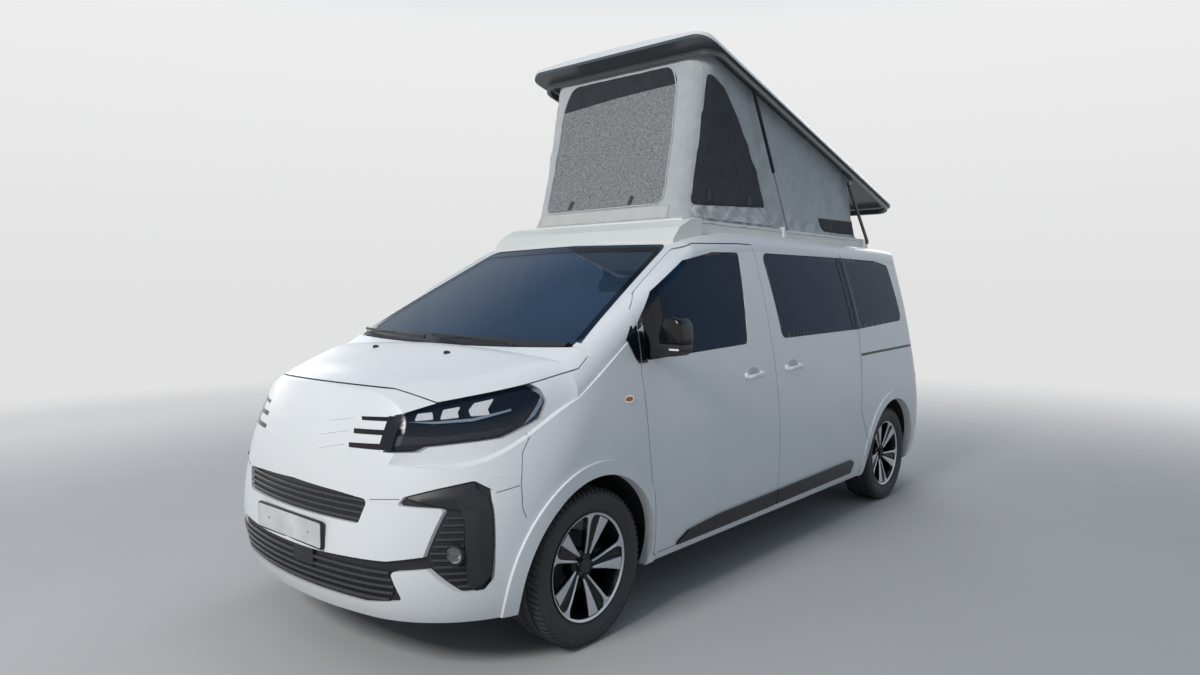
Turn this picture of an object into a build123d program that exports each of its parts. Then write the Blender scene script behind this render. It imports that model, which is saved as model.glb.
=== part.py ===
"""Mid-size camper van with a lifting sleeping roof, shown with the roof raised.

Frame: millimetres, +X forward, +Y to the van's left, +Z up.
The origin lies on the ground, midway along the van and on its centre plane.
The left half is modelled and mirrored wherever both sides are alike.
"""
from build123d import *
import os
from math import atan2, cos, degrees, hypot, radians, sin, sqrt

# Overall size
LENGTH = 4960.0
HALF_WIDTH = 955.0
NOSE_X = LENGTH / 2
TAIL_X = -LENGTH / 2
PLATE_PROUD = 12.0      # number plate ahead of the bumper
FAR = 1400.0            # reach of a cutter past the body side

# Wheels and axles
WHEELBASE = 3275.0
FRONT_OVERHANG = 895.0
FRONT_AXLE = NOSE_X - FRONT_OVERHANG
REAR_AXLE = FRONT_AXLE - WHEELBASE
TYRE_R = 340.0
TYRE_W = 215.0
RIM_R = 236.0
TRACK_HALF = 805.0
KINGPIN_Y = 730.0
KINGPIN_R = 12.0
ARCH_R = 408.0
FLARE_W = 62.0          # width of the raised band round each arch
FLARE_H = 12.0          # how far that band stands proud
SPINDLE_R = 32.0
SPINDLE_FIT = 0.06

# Walls and gaps
WALL = 42.0             # body side, door and tailgate thickness
PILLAR_W = 46.0         # windscreen pillar, seen from the front
DOOR_INNER = 720.0      # door outlines are carried out from here
GAP = 6.0               # shut line between a moving panel and the body
SEAM = 0.4              # joint between two fixed panels
SEAT = 0.3              # glass or lamp in its opening
GLASS_SET = 3.0         # glass lies this far under the paint
GLASS_T = 6.0

# Body heights
BODY_BOTTOM = 245.0
BUMPER_TOP = 717.0
BUMPER_SIDE_TOP = 812.0  # outboard of the corner trims the bumper reaches up to here
BUMPER_SIDE_Y = 846.0
BELT = 1265.0
ROOF_Z = 1885.0

# Windscreen and bonnet side lines
COWL = (1690.0, 1275.0)
HEADER = (690.0, 1800.0)

# Body outline seen from above, one row for each height.
# Columns: height, nose set back, nose arc, corner arc, side tuck, tail set back, tail corner arc
LEVELS = [
    (BODY_BOTTOM, 62, 2000, 560, 78, 40, 250),
    (330, 20, 2200, 600, 44, 18, 280),
    (600, PLATE_PROUD, 2200, 600, 6, 6, 300),
    (850, 42, 2000, 690, 0, 62, 300),
    (1050, 95, 1750, 790, 10, 118, 300),
    (BELT, 190, 1650, 790, 36, 165, 290),
    (1550, 260, 1600, 730, 92, 212, 270),
    (1800, 300, 1600, 660, 156, 246, 240),
    (1990, 320, 1600, 600, 210, 268, 220),
]
TAIL_ARC = 5200.0

# Upper surface, one row for each station along the van.
# Columns: station, crown height, crown arc, shoulder arc, height of the side line below the crown
ROOF_STATIONS = [
    (-2700, ROOF_Z - 95, 7000, 105, 150),
    (-2150, ROOF_Z - 18, 7000, 110, 150),
    (-1300, ROOF_Z, 7500, 110, 150),
    (150, ROOF_Z, 9000, 110, 150),
    (HEADER[0], HEADER[1], 14000, 105, 150),
]
SCREEN_STATIONS = [
    ROOF_STATIONS[-1],
    ((HEADER[0] + COWL[0]) / 2, (HEADER[1] + COWL[1]) / 2 + 6, 10000, 120, 160),
    (COWL[0], COWL[1], 8000, 150, 190),
]
BONNET_STATIONS = [
    SCREEN_STATIONS[-1],
    (1900, 1246, 6000, 230, 260),
    (2100, 1208, 4000, 300, 330),
    (2260, 1172, 3000, 300, 330),
    (2380, 1128, 1800, 240, 300),
    (2600, 1040, 1100, 200, 260),
]

# Raised roof and its linkage, in the plane of the side view
ROOF_TILT = 15.2        # slope of the raised roof, degrees
ARM_BASE = (-1903.0, 1905.0)
ARM_TOP = (-1540.0, 2313.0)
ROOF_AHEAD = 2034.0     # roof panel ahead of the arm's upper pivot
ROOF_BEHIND = 773.0
ROOF_HALF = 694.0
ROOF_RIM_LOW = 36.0     # rim's lower edge over the upper pivot
ROOF_LIP_LOW = 72.0     # underside of the lip that overhangs the rim
LIP_SIDE = 14.0         # overhang of the lip past the rim at the sides and the rear
LIP_FRONT = 112.0
ROOF_RIM_TOP = 104.0
ROOF_CROWN = 26.0
ROOF_SKIN = 18.0
ROOF_EDGE_ARC = 28.0
RIM_T = 16.0
LINK_Y = 645.0          # centre plane of the arms and struts
ARM_T = 12.0
ARM_H = 26.0
STRUT_FOOT = (-622.0, 1930.0)
STRUT_HEAD = (1440.0, 62.0)     # along and above the roof from the upper pivot
BARREL_LENGTH = 548.0
BARREL_R = 11.0
ROD_R = 5.0

# Roof opening, its frame and the cloth walls
HATCH_FRONT = 380.0
HATCH_REAR = -1800.0
HATCH_HALF = 540.0
RING_FRONT = 520.0
RING_REAR = -1930.0
RING_HALF = 620.0
RING_TOP = 1926.0
CLOTH_T = 6.0
CLOTH_HALF = 596.0
CLOTH_FRONT = 486.0
CLOTH_FRONT_TOP = 268.0
CLOTH_REAR = -1880.0
CLOTH_REAR_TOP = -1742.0
CLOTH_CORNER = 130.0    # rounding of the upright corners

# Side view outlines: (along, up)
DOOR = [(1150, 288), (1237, 805), (1270, 1163), (1262, 1442), (972, 1676), (655, 1772), (232, 1788),
        (92, 1788), (72, 1250), (-20, 288)]
DOOR_WINDOW = [(1228, 1212), (1224, 1418), (1106, 1526), (805, 1682), (522, 1734), (262, 1740), (330, 1244)]
SAIL_WINDOW = [(1352, 1312), (1296, 1222), (1292, 1392)]
SLIDING = [(-27, 288), (65, 1250), (85, 1788), (-1060, 1788), (-1125, 1262), (-1118, 720), (-1255, 520),
           (-1290, 288)]
SLIDING_WINDOW = [(-62, 1256), (8, 1748), (-1030, 1752), (-1102, 1272)]
QUARTER_WINDOW = [(-1150, 1274), (-1078, 1752), (-1640, 1748), (-1850, 1718), (-1930, 1312)]
SILL_TRIM = [(985, 284), (880, 348), (600, 372), (-1010, 398), (-1060, 372), (-1050, 300)]
BONNET_EDGE = [(1500, 1420), (1560, 1268), (1650, 1206), (1836, 1162), (1876, 1153), (2074, 1112), (2170, 1090),
               (2245, 1140), (2338, 1152), (2600, 1228), (2600, 1420)]
LAMP = [(2420, 904), (2420, 998), (2279, 1048), (2180, 1084), (2074, 1125), (1876, 1165), (1838, 1130), (1828, 1082),
        (1866, 1018), (2021, 953), (2237, 923), (2263, 904)]
LAMP_INNER_Y = 506.0
WING = [(2046, 0), (2046, 1300), (1500, 1300), (1300, 1200), (1200, 1200), (1130, 288), (1130, 0)]
WING_FRONT = WING[0][0]
WING_INNER = 600.0
TAILGATE_LOW = 560.0
TAILGATE_TOP = 1806.0
TAILGATE_HALF = 742.0
TAIL_LAMP_LOW = 840.0
TAIL_LAMP_TOP = 1150.0
TAIL_LAMP_FRONT = -2190.0
REAR_BUMPER_FRONT = -2120.0

# Front view outlines: (across, up)
SCREEN = [(-838, 1180), (838, 1180), (838, 1262), (664, 1772), (0, 1786), (-664, 1772), (-838, 1262)]
GATE = [(-TAILGATE_HALF, TAILGATE_LOW), (TAILGATE_HALF, TAILGATE_LOW), (TAILGATE_HALF - 30, 1250),
        (TAILGATE_HALF - 120, TAILGATE_TOP), (120 - TAILGATE_HALF, TAILGATE_TOP), (30 - TAILGATE_HALF, 1250)]
GATE_WINDOW = [(-600, 1240), (600, 1240), (520, 1700), (-520, 1700)]
UPPER_GRILLE = [(-434, 626), (434, 626), (472, 723), (305, 736), (0, 748), (-305, 736), (-472, 723)]
LOWER_GRILLE = [(-450, 320), (450, 320), (620, 346), (588, 461), (740, 481), (740, 532), (575, 500), (218, 486),
                (-218, 486), (-575, 500), (-740, 532), (-740, 481), (-588, 461), (-620, 346)]
CORNER_TRIM = [(599, 712), (622, 746), (724, 779), (816, 806), (864, 768), (880, 700), (880, 560), (874, 440),
               (842, 382), (784, 381), (717, 475), (705, 526), (757, 706)]
CORNER_REAR = 2104.0    # the corner trims end here along the side
PLATE_W = 520.0
PLATE_H = 114.0
PLATE_LOW = 496.0

# Edges seen from above, as (middle, end, half width): the bonnet's rear edge and the foot of the windscreen
BONNET_REAR = (1684.0, 1574.0, 860.0)
SCREEN_BASE = (1612.0, 1556.0, 860.0)

COWL_HALF = 760.0
COWL_CUT = 800.0        # the wings start here, leaving room for the bonnet hinges

# Roof panel joints
ROOF_FRONT = 800.0
ROOF_EDGE = 700.0
ROOF_LOW = 1760.0
GRILLE_SET = 14.0

# Floor, bulkhead and wheel housings
FLOOR_LOW = 434.0
FLOOR_TOP = 480.0
FIREWALL_X = 1302.0
RAIL_IN = 360.0         # front rails stand this far off centre
FRONT_HOUSING_Y = 486.0
REAR_HOUSING_Y = 640.0
LINER_T = 8.0
FIREWALL_T = 40.0
FIREWALL_TOP = 1190.0
HOUSING_TOP = 1100.0
SILL_X = (-1270, 1160)
SILL_IN = 760.0

# Door mirror: (from, to) along each direction
MIRROR_X = (1098, 1214)
MIRROR_Y = (938, 1102)
MIRROR_Z = (1226, 1416)
MIRROR_FOOT_X = (1124, 1212)
MIRROR_FOOT_Z = (1222, 1280)

# Hinge lines
BONNET_HINGE = (1574.0, 1276.0)
TAILGATE_HINGE = (-2230.0, 1812.0)
GATE_HINGE_Y = 430.0
HINGE_PIN_R = 4.0

# Small fits of the linkage and the raised roof's details
PIN_R = 6.0
PIN_FIT = 0.05
ARM_IN = LINK_Y - ARM_T / 2
ARM_OUT = LINK_Y + ARM_T / 2
ROOF_CORNER = 112.0
ROOF_LINER = ROOF_RIM_TOP - ROOF_SKIN
ROD_OVERLAP = 60.0
ROD_STROKE = 250.0
CAP = [(700, 1700), (700, 1800), (636, 1868), (540, 1912), (470, 1926), (430, 1926), (430, 1700)]
CAP_HALF = 690.0

# Inside: side view outlines and places
DASH = [(FIREWALL_X, 820), (FIREWALL_X, 1190), (1180, 1200), (1010, 1140), (960, 1030), (1020, 900), (1180, 820)]
DASH_HALF = 780.0
WHEEL_AT = (880, 400, 1110)
WHEEL_LEAN = -62.0
WHEEL_R = 180.0
SEAT_CUSHION = [(770, 690), (780, 830), (420, 810), (250, 690)]
SEAT_BACK = [(250, 690), (420, 810), (300, 1350), (180, 1350)]
HEADREST = [(180, 1350), (300, 1350), (285, 1590), (190, 1590)]
HEADREST_W = 300.0
SEAT_Y = 400.0
SEAT_W = 480.0
SEAT_BASE_X = (330, 620)
SEAT_BASE_W = 340.0
BENCH_BASE_X = (-1200, -800)
BENCH_CUSHION = [(-660, 680), (-650, 820), (-1060, 800), (-1260, 680)]
BENCH_BACK = [(-1260, 680), (-1060, 800), (-1180, 1420), (-1300, 1420)]
BENCH_Y0 = -620.0
BENCH_Y1 = 380.0
KITCHEN_X = (-1250, -120)
KITCHEN_Y = (480, 790)
KITCHEN_TOP = 1190.0

# Wheel sections as (radius, across) from the wheel's centre plane
RIM_FACE = 78.0
RIM_FACE_Y = TRACK_HALF + RIM_FACE
TYRE_SECTION = [(RIM_R - 8, -85.6), (RIM_R + 4, -85.6), (RIM_R + 46, -TYRE_W / 2), (TYRE_R - 26, 4 - TYRE_W / 2),
                (TYRE_R, -84), (TYRE_R, 84), (TYRE_R - 26, TYRE_W / 2 - 4), (RIM_R + 46, TYRE_W / 2),
                (RIM_R + 4, 85.6), (RIM_R - 8, 85.6)]
RIM_SECTION = [(RIM_R, -92), (RIM_R, -86), (RIM_R - 8.4, -86), (RIM_R - 8.4, 86), (RIM_R, 86), (RIM_R, 92),
               (RIM_R - 14, 92), (RIM_R - 20, 40), (RIM_R - 20, -92)]

parts = {}


def tangent_outline(tip, tip_arc, corner_arc, half):
    """Half outline from the tip on the axis to the straight side.

    Returns the point where tip arc and corner arc meet, the middle of the corner arc
    and the corner arc's end on the side, as (along, across).
    """
    centre = tip - tip_arc + sqrt((tip_arc - corner_arc) ** 2 - (half - corner_arc) ** 2)
    lean = atan2(half - corner_arc, centre - (tip - tip_arc))
    meet = (tip - tip_arc + tip_arc * cos(lean), tip_arc * sin(lean))
    middle_angle = (lean + radians(90)) / 2
    middle = (centre + corner_arc * cos(middle_angle), half - corner_arc + corner_arc * sin(middle_angle))
    return meet, middle, (centre, half)


def level_row(z):
    """The row of LEVELS at any height, by straight interpolation."""
    rows = LEVELS
    if z <= rows[0][0]:
        return rows[0]
    for low, high in zip(rows, rows[1:]):
        if z <= high[0]:
            share = (z - low[0]) / (high[0] - low[0])
            return tuple(a + (b - a) * share for a, b in zip(low, high))
    return rows[-1]


def side_y(x, z):
    """Half width of the body at a station and a height."""
    _, nose_back, nose_arc, corner, tuck, tail_back, tail_corner = level_row(z)
    half = HALF_WIDTH - tuck
    tip = NOSE_X - nose_back
    meet, _, end = tangent_outline(tip, nose_arc, corner, half)
    if x <= end[0]:
        return half
    if x <= meet[0]:
        return half - corner + sqrt(max(corner ** 2 - (x - end[0]) ** 2, 0))
    return sqrt(max(nose_arc ** 2 - (x - tip + nose_arc) ** 2, 1))


def level_face(row, inset):
    """Closed outline of the body at one height, drawn in by a wall thickness."""
    z, nose_back, nose_arc, corner, tuck, tail_back, tail_corner = row
    half = HALF_WIDTH - tuck - inset
    nose = NOSE_X - nose_back - inset
    tail = -TAIL_X - tail_back - inset
    f_meet, f_mid, f_end = tangent_outline(nose, nose_arc - inset, corner - inset, half)
    r_meet, r_mid, r_end = tangent_outline(tail, TAIL_ARC - inset, tail_corner - inset, half)

    def front(p, s=1):
        return (p[0], s * p[1], z)

    def rear(p, s=1):
        return (-p[0], s * p[1], z)

    edges = [
        ThreePointArc(front(f_meet, -1), (nose, 0, z), front(f_meet)),
        ThreePointArc(front(f_meet), front(f_mid), front(f_end)),
        Line(front(f_end), rear(r_end)),
        ThreePointArc(rear(r_end), rear(r_mid), rear(r_meet)),
        ThreePointArc(rear(r_meet), (-tail, 0, z), rear(r_meet, -1)),
        ThreePointArc(rear(r_meet, -1), rear(r_mid, -1), rear(r_end, -1)),
        Line(rear(r_end, -1), front(f_end, -1)),
        ThreePointArc(front(f_end, -1), front(f_mid, -1), front(f_meet, -1)),
    ]
    return Face(Wire(edges))


def tub(inset=0.0, drop=0.0):
    """Body sides, nose and tail as one loft of outlines, taken down by a drop at the bottom."""
    rows = [list(r) for r in LEVELS]
    rows[0][0] -= drop
    return loft([level_face(tuple(r), inset) for r in rows])


def station_face(row, inset):
    """Section across the van under the roof, screen or bonnet, with rounded shoulders."""
    x, crown, crown_arc, shoulder, depth = row
    half = side_y(min(x, NOSE_X - 150), crown - depth * 0.6) + 9 - inset
    shoulder = min(shoulder, 0.75 * half) - inset * 0.5
    top = crown - inset
    meet, middle, end = tangent_outline(top, crown_arc, shoulder, half)
    foot = 0.0

    def at(p, s=1):
        return (x, s * p[1], p[0])

    edges = [
        ThreePointArc(at(meet, -1), (x, 0, top), at(meet)),
        ThreePointArc(at(meet), at(middle), at(end)),
        Line(at(end), (x, FAR, end[0])),
        Line((x, FAR, end[0]), (x, FAR, foot)),
        Line((x, FAR, foot), (x, -FAR, foot)),
        Line((x, -FAR, foot), (x, -FAR, end[0])),
        Line((x, -FAR, end[0]), at(end, -1)),
        ThreePointArc(at(end, -1), at(middle, -1), at(meet, -1)),
    ]
    return Face(Wire(edges))


def upper(inset=0.0):
    """Everything below the roof, windscreen and bonnet surfaces."""
    runs = [ROOF_STATIONS, SCREEN_STATIONS, BONNET_STATIONS]
    lofts = [loft([station_face(r, inset) for r in run]) for run in runs]
    return lofts[0] + lofts[1] + lofts[2]


def skin(inset=0.0):
    """The body's outside, or the same shape drawn in by an inset."""
    return tub(inset, drop=60.0 if inset else 0.0) & upper(inset)


def grown(points, amount):
    """A closed outline with every side moved out by an amount, corners kept sharp."""
    area = sum(a[0] * b[1] - b[0] * a[1] for a, b in zip(points, points[1:] + points[:1]))
    turn = 1 if area > 0 else -1
    moved = []
    for last, here, after in zip(points[-1:] + points[:-1], points, points[1:] + points[:1]):
        run_in = hypot(here[0] - last[0], here[1] - last[1])
        run_out = hypot(after[0] - here[0], after[1] - here[1])
        a = ((here[0] - last[0]) / run_in, (here[1] - last[1]) / run_in)
        b = ((after[0] - here[0]) / run_out, (after[1] - here[1]) / run_out)
        shift = amount * turn / (1 + a[0] * b[0] + a[1] * b[1])
        moved.append((here[0] + shift * (a[1] + b[1]), here[1] - shift * (a[0] + b[0])))
    return moved


def side_face(points, radius=0.0, grow=0.0):
    """A closed outline, grown by an amount and with its corners rounded, as a flat face."""
    line = grown(points, grow) if grow else points
    if not radius:
        return make_face(Polyline(*line, close=True))
    ends = []
    for last, here, after in zip(line[-1:] + line[:-1], line, line[1:] + line[:1]):
        run_in = hypot(here[0] - last[0], here[1] - last[1])
        run_out = hypot(after[0] - here[0], after[1] - here[1])
        a = ((last[0] - here[0]) / run_in, (last[1] - here[1]) / run_in)
        b = ((after[0] - here[0]) / run_out, (after[1] - here[1]) / run_out)
        half_cos = sqrt(max((1 + a[0] * b[0] + a[1] * b[1]) / 2, 1e-12))
        half_sin = sqrt(max(1 - half_cos ** 2, 1e-12))
        cut = min(radius * half_cos / half_sin, 0.42 * run_in, 0.42 * run_out)
        size = cut * half_sin / half_cos
        sag = (size / half_sin - size) / (2 * half_cos)
        start = (here[0] + cut * a[0], here[1] + cut * a[1])
        end = (here[0] + cut * b[0], here[1] + cut * b[1])
        middle = (here[0] + sag * (a[0] + b[0]), here[1] + sag * (a[1] + b[1]))
        ends.append((start, middle, end))
    edges = []
    for corner, following in zip(ends, ends[1:] + ends[:1]):
        edges.append(ThreePointArc(*corner))
        edges.append(Line(corner[2], following[0]))
    return make_face(edges)


def side_prism(points, inner=0.0, outer=FAR, radius=0.0, grow=0.0):
    """A side view outline carried across the left half, from one distance off centre to another."""
    face = Plane.XZ.offset(-inner) * side_face(points, radius, grow)
    return extrude(face, amount=outer - inner, dir=(0, 1, 0))


def front_prism(points, back, front, radius=0.0, grow=0.0):
    """A front view outline (across, up) carried along the van."""
    face = Plane.YZ.offset(back) * side_face(points, radius, grow)
    return extrude(face, amount=front - back, dir=(1, 0, 0))


def block(x0, x1, y0, y1, z0, z1):
    return Pos((x0 + x1) / 2, (y0 + y1) / 2, (z0 + z1) / 2) * Box(x1 - x0, y1 - y0, z1 - z0)


def across(x, z, radius, y0, y1):
    """A round bar lying across the van."""
    return Pos(x, (y0 + y1) / 2, z) * Rot(90, 0, 0) * Cylinder(radius, y1 - y0)


def ahead_of(edge, back):
    """Everything ahead of a curved edge seen from above, after moving the edge forward by some distance."""
    middle, end, half = edge
    line = [
        ThreePointArc((end + back, -half), (middle + back, 0), (end + back, half)),
        Line((end + back, half), (end + back - 160, FAR)),
        Line((end + back - 160, FAR), (NOSE_X + 200, FAR)),
        Line((NOSE_X + 200, FAR), (NOSE_X + 200, -FAR)),
        Line((NOSE_X + 200, -FAR), (end + back - 160, -FAR)),
        Line((end + back - 160, -FAR), (end + back, -half)),
    ]
    return extrude(make_face(line), amount=2400)


def other_side(shape):
    return mirror(shape, about=Plane.XZ)


def both(shape):
    """The left piece and its mirror image, as separate solids."""
    return Compound(list(shape.solids()) + list(other_side(shape).solids()))


def save(name, shape):
    solids = list(shape.solids())
    parts[name] = solids[0] if len(solids) == 1 else Compound(solids)


def save_pair(name, shape):
    save(name + "_left", shape)
    save(name + "_right", other_side(shape))


# Body skin and the parts cut from it
outside = skin()
inside = skin(WALL)
wall = outside - inside
proud = tub(-FLARE_H) - outside
glass_sheet = skin(GLASS_SET) - skin(GLASS_SET + GLASS_T)
grille_sheet = skin(GRILLE_SET) - inside

left_half = block(TAIL_X - 50, NOSE_X + 50, 0, FAR, 0, 2200)
arch_cut = across(FRONT_AXLE, TYRE_R, ARCH_R, -FAR, FAR) + across(REAR_AXLE, TYRE_R, ARCH_R, -FAR, FAR)
flare_band = (across(FRONT_AXLE, TYRE_R, ARCH_R + FLARE_W, -FAR, FAR)
              + across(REAR_AXLE, TYRE_R, ARCH_R + FLARE_W, -FAR, FAR))
flare_band = flare_band & block(TAIL_X, NOSE_X, -FAR, FAR, BODY_BOTTOM, 1000)
painted = wall + (proud & flare_band)

bonnet_zone = side_prism(BONNET_EDGE, -FAR, FAR) & ahead_of(BONNET_REAR, 2 * GAP)
bonnet_opening = side_prism(BONNET_EDGE, -FAR, FAR, grow=GAP) & ahead_of(BONNET_REAR, 0)
cowl_zone = ahead_of(SCREEN_BASE, SEAT) - ahead_of(BONNET_REAR, 0)
cowl_zone = cowl_zone & block(1400, 1720, -COWL_HALF, COWL_HALF, 1200, 1400)
cowl_opening = ahead_of(SCREEN_BASE, 0) & block(1400, 1720, -COWL_CUT, COWL_CUT, 1200, 1400)
screen_zone = front_prism(SCREEN, 560, 1760, radius=60) - ahead_of(SCREEN_BASE, 0)
screen_opening = front_prism(SCREEN, 560, 1760, radius=60, grow=SEAT) - ahead_of(SCREEN_BASE, SEAT)
pillar_zone = front_prism(SCREEN, 560, 1760, radius=60, grow=PILLAR_W)
pillar_inner = front_prism(SCREEN, 560, 1760, radius=60, grow=PILLAR_W - GAP)
door_zone = side_prism(DOOR, DOOR_INNER, FAR, radius=24) - pillar_zone
door_opening = side_prism(DOOR, DOOR_INNER, FAR, radius=24, grow=GAP) - pillar_inner
sliding_zone = side_prism(SLIDING, DOOR_INNER, FAR, radius=20)
sliding_opening = side_prism(SLIDING, DOOR_INNER, FAR, radius=20, grow=SEAM)
lamp_zone = side_prism(LAMP, LAMP_INNER_Y, FAR, radius=16) - bonnet_opening
lamp_opening = side_prism(LAMP, LAMP_INNER_Y - SEAT, FAR, radius=16, grow=SEAT)
gate_zone = front_prism(GATE, TAIL_X - 100, -2000, radius=40)
gate_opening = front_prism(GATE, TAIL_X - 100, -2000, radius=40, grow=GAP)
gate_window = front_prism(GATE_WINDOW, TAIL_X - 100, -2000, radius=60)
gate_window_cut = front_prism(GATE_WINDOW, TAIL_X - 100, -2000, radius=60, grow=SEAT)
roof_zone = block(-2600, ROOF_FRONT, -ROOF_EDGE, ROOF_EDGE, ROOF_LOW, 2200)
roof_cut = block(-2600, ROOF_FRONT + SEAM, -ROOF_EDGE - SEAM, ROOF_EDGE + SEAM, ROOF_LOW - SEAM, 2200)
hatch = block(HATCH_REAR, HATCH_FRONT, -HATCH_HALF, HATCH_HALF, ROOF_LOW - 100, 2200)
bumper_side = block(WING_FRONT, NOSE_X + 50, BUMPER_SIDE_Y, FAR, BUMPER_TOP, BUMPER_SIDE_TOP)
nose_side_cut = block(WING_FRONT, NOSE_X + 50, BUMPER_SIDE_Y - SEAM, FAR, BUMPER_TOP, BUMPER_SIDE_TOP + SEAM)
bumper_zone = block(WING_FRONT, NOSE_X + 50, -FAR, FAR, 0, BUMPER_TOP) + bumper_side + other_side(bumper_side)
nose_zone = block(WING_FRONT, NOSE_X + 50, -FAR, FAR, BUMPER_TOP + SEAM, 1300)
nose_zone = nose_zone - nose_side_cut - other_side(nose_side_cut)
front_cut = block(WING_FRONT - SEAM, NOSE_X + 50, -FAR, FAR, 0, 1300)
rear_bumper_zone = block(TAIL_X - 50, REAR_BUMPER_FRONT, -FAR, FAR, 0, TAILGATE_LOW - 15)
rear_bumper_cut = block(TAIL_X - 50, REAR_BUMPER_FRONT + SEAM, -FAR, FAR, 0, TAILGATE_LOW - 15 + SEAM)
wing_zone = side_prism(WING, WING_INNER, FAR) - door_opening - screen_opening
wing_cut = side_prism(WING, WING_INNER - SEAM, FAR, grow=SEAM) + front_cut
tail_lamp_zone = block(TAIL_X - 50, TAIL_LAMP_FRONT, TAILGATE_HALF + 14, FAR, TAIL_LAMP_LOW, TAIL_LAMP_TOP)
tail_lamp_cut = block(TAIL_X - 50, TAIL_LAMP_FRONT + SEAT, TAILGATE_HALF + 14 - SEAT, FAR,
                      TAIL_LAMP_LOW - SEAT, TAIL_LAMP_TOP + SEAT)

# Body sides with pillars, sill and rear quarter
side = (painted & left_half) - door_opening - sliding_opening - wing_cut - roof_cut - gate_opening
side = side - rear_bumper_cut - arch_cut - tail_lamp_cut - screen_opening - bonnet_opening - cowl_opening
for points, radius in ((SAIL_WINDOW, 10), (QUARTER_WINDOW, 50)):
    side = side - side_prism(points, DOOR_INNER, FAR, radius=radius, grow=SEAT)
save_pair("side", side)

# Roof panel with the opening under the sleeping space
hinge_x, hinge_z = TAILGATE_HINGE
fixed_knuckle = block(hinge_x - 6, hinge_x + 40, GATE_HINGE_Y, GATE_HINGE_Y + 16, hinge_z + 4, hinge_z + 28)
fixed_knuckle = fixed_knuckle + across(hinge_x, hinge_z, 9, GATE_HINGE_Y, GATE_HINGE_Y + 16)
fixed_knuckle = fixed_knuckle + across(hinge_x, hinge_z, HINGE_PIN_R, GATE_HINGE_Y, GATE_HINGE_Y + 38)
swing_knuckle = block(hinge_x - 6, hinge_x + 40, GATE_HINGE_Y + 17, GATE_HINGE_Y + 40, hinge_z - 28, hinge_z - 6)
swing_knuckle = swing_knuckle + across(hinge_x, hinge_z, 9, GATE_HINGE_Y + 17, GATE_HINGE_Y + 40)
swing_knuckle = swing_knuckle - across(hinge_x, hinge_z, HINGE_PIN_R + PIN_FIT, GATE_HINGE_Y, GATE_HINGE_Y + 50)
roof = (wall & roof_zone) - hatch - gate_opening - screen_opening
save("roof_panel", roof + fixed_knuckle + other_side(fixed_knuckle))

# Front end
wing = (painted & wing_zone & left_half) - arch_cut - bonnet_opening - lamp_opening - cowl_opening
hinge_pin = across(*BONNET_HINGE, HINGE_PIN_R, COWL_CUT - 30, COWL_CUT + 6)
save("front_wings", both(wing + hinge_pin))
lamp_cuts = lamp_opening + other_side(lamp_opening)
corner = front_prism(CORNER_TRIM, CORNER_REAR, NOSE_X + 50, radius=14)
corner_cut = front_prism(CORNER_TRIM, CORNER_REAR - SEAT, NOSE_X + 50, radius=14, grow=SEAT)
corner_cut = corner_cut + other_side(corner_cut)
grille_zones = [front_prism(points, 1900, NOSE_X + 50, radius=18) for points in (UPPER_GRILLE, LOWER_GRILLE)]
grille_cuts = [front_prism(points, 1900, NOSE_X + 50, radius=18, grow=SEAT) for points in (UPPER_GRILLE, LOWER_GRILLE)]
save("nose_panel", (wall & nose_zone) - bonnet_opening - lamp_cuts - corner_cut - grille_cuts[0])
save("headlamps", both(wall & lamp_zone))
leaf = block(BONNET_HINGE[0] - 10, BONNET_HINGE[0] + 90, COWL_CUT - 28, COWL_CUT - 12,
             BONNET_HINGE[1] - 22, BONNET_HINGE[1] + 8)
leaf = (leaf & outside) - across(*BONNET_HINGE, HINGE_PIN_R + PIN_FIT, 0, FAR)
save("bonnet", (wall & bonnet_zone) + leaf + other_side(leaf))
save("cowl", (wall & cowl_zone) - bonnet_opening)
save("windscreen", glass_sheet & screen_zone)

bumper = (painted & bumper_zone) - arch_cut - corner_cut
for cut in grille_cuts:
    bumper = bumper - cut
save("front_bumper", bumper)
grilles = [s for zone in grille_zones for s in ((grille_sheet & zone) - corner_cut).solids()]
trims = both((grille_sheet & corner) - arch_cut).solids()
save("front_grilles", Compound(grilles + list(trims)))
plate = block(NOSE_X - 60, NOSE_X, -PLATE_W / 2, PLATE_W / 2, PLATE_LOW, PLATE_LOW + PLATE_H)
save("number_plate", plate - outside)

# Side doors, their glass, trims and mirrors
trim_band = side_prism(SILL_TRIM, DOOR_INNER, FAR, radius=12)
door = (painted & door_zone) - side_prism(DOOR_WINDOW, DOOR_INNER, FAR, radius=20, grow=SEAT)
save_pair("door_front", door - arch_cut)
save_pair("door_glass", (glass_sheet & side_prism(DOOR_WINDOW, DOOR_INNER, FAR, radius=20)) - pillar_zone)
save_pair("door_trim", proud & trim_band & door_zone)
head = fillet(block(*MIRROR_X, *MIRROR_Y, *MIRROR_Z).edges(), 38)
foot = fillet(block(*MIRROR_FOOT_X, 860, MIRROR_Y[0] + 60, *MIRROR_FOOT_Z).edges(), 16)
save_pair("mirror", (head + foot) - skin(GLASS_SET - 0.2))
sliding = (painted & sliding_zone) - arch_cut
sliding = sliding - side_prism(SLIDING_WINDOW, DOOR_INNER, FAR, radius=50, grow=SEAT)
save_pair("sliding_door", sliding)
save("slide_trims", both(proud & trim_band & sliding_zone))
panes = []
for points, radius in ((SAIL_WINDOW, 10), (SLIDING_WINDOW, 50), (QUARTER_WINDOW, 50)):
    panes += both(glass_sheet & side_prism(points, DOOR_INNER, FAR, radius=radius)).solids()
save("side_glass", Compound(panes))

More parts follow.
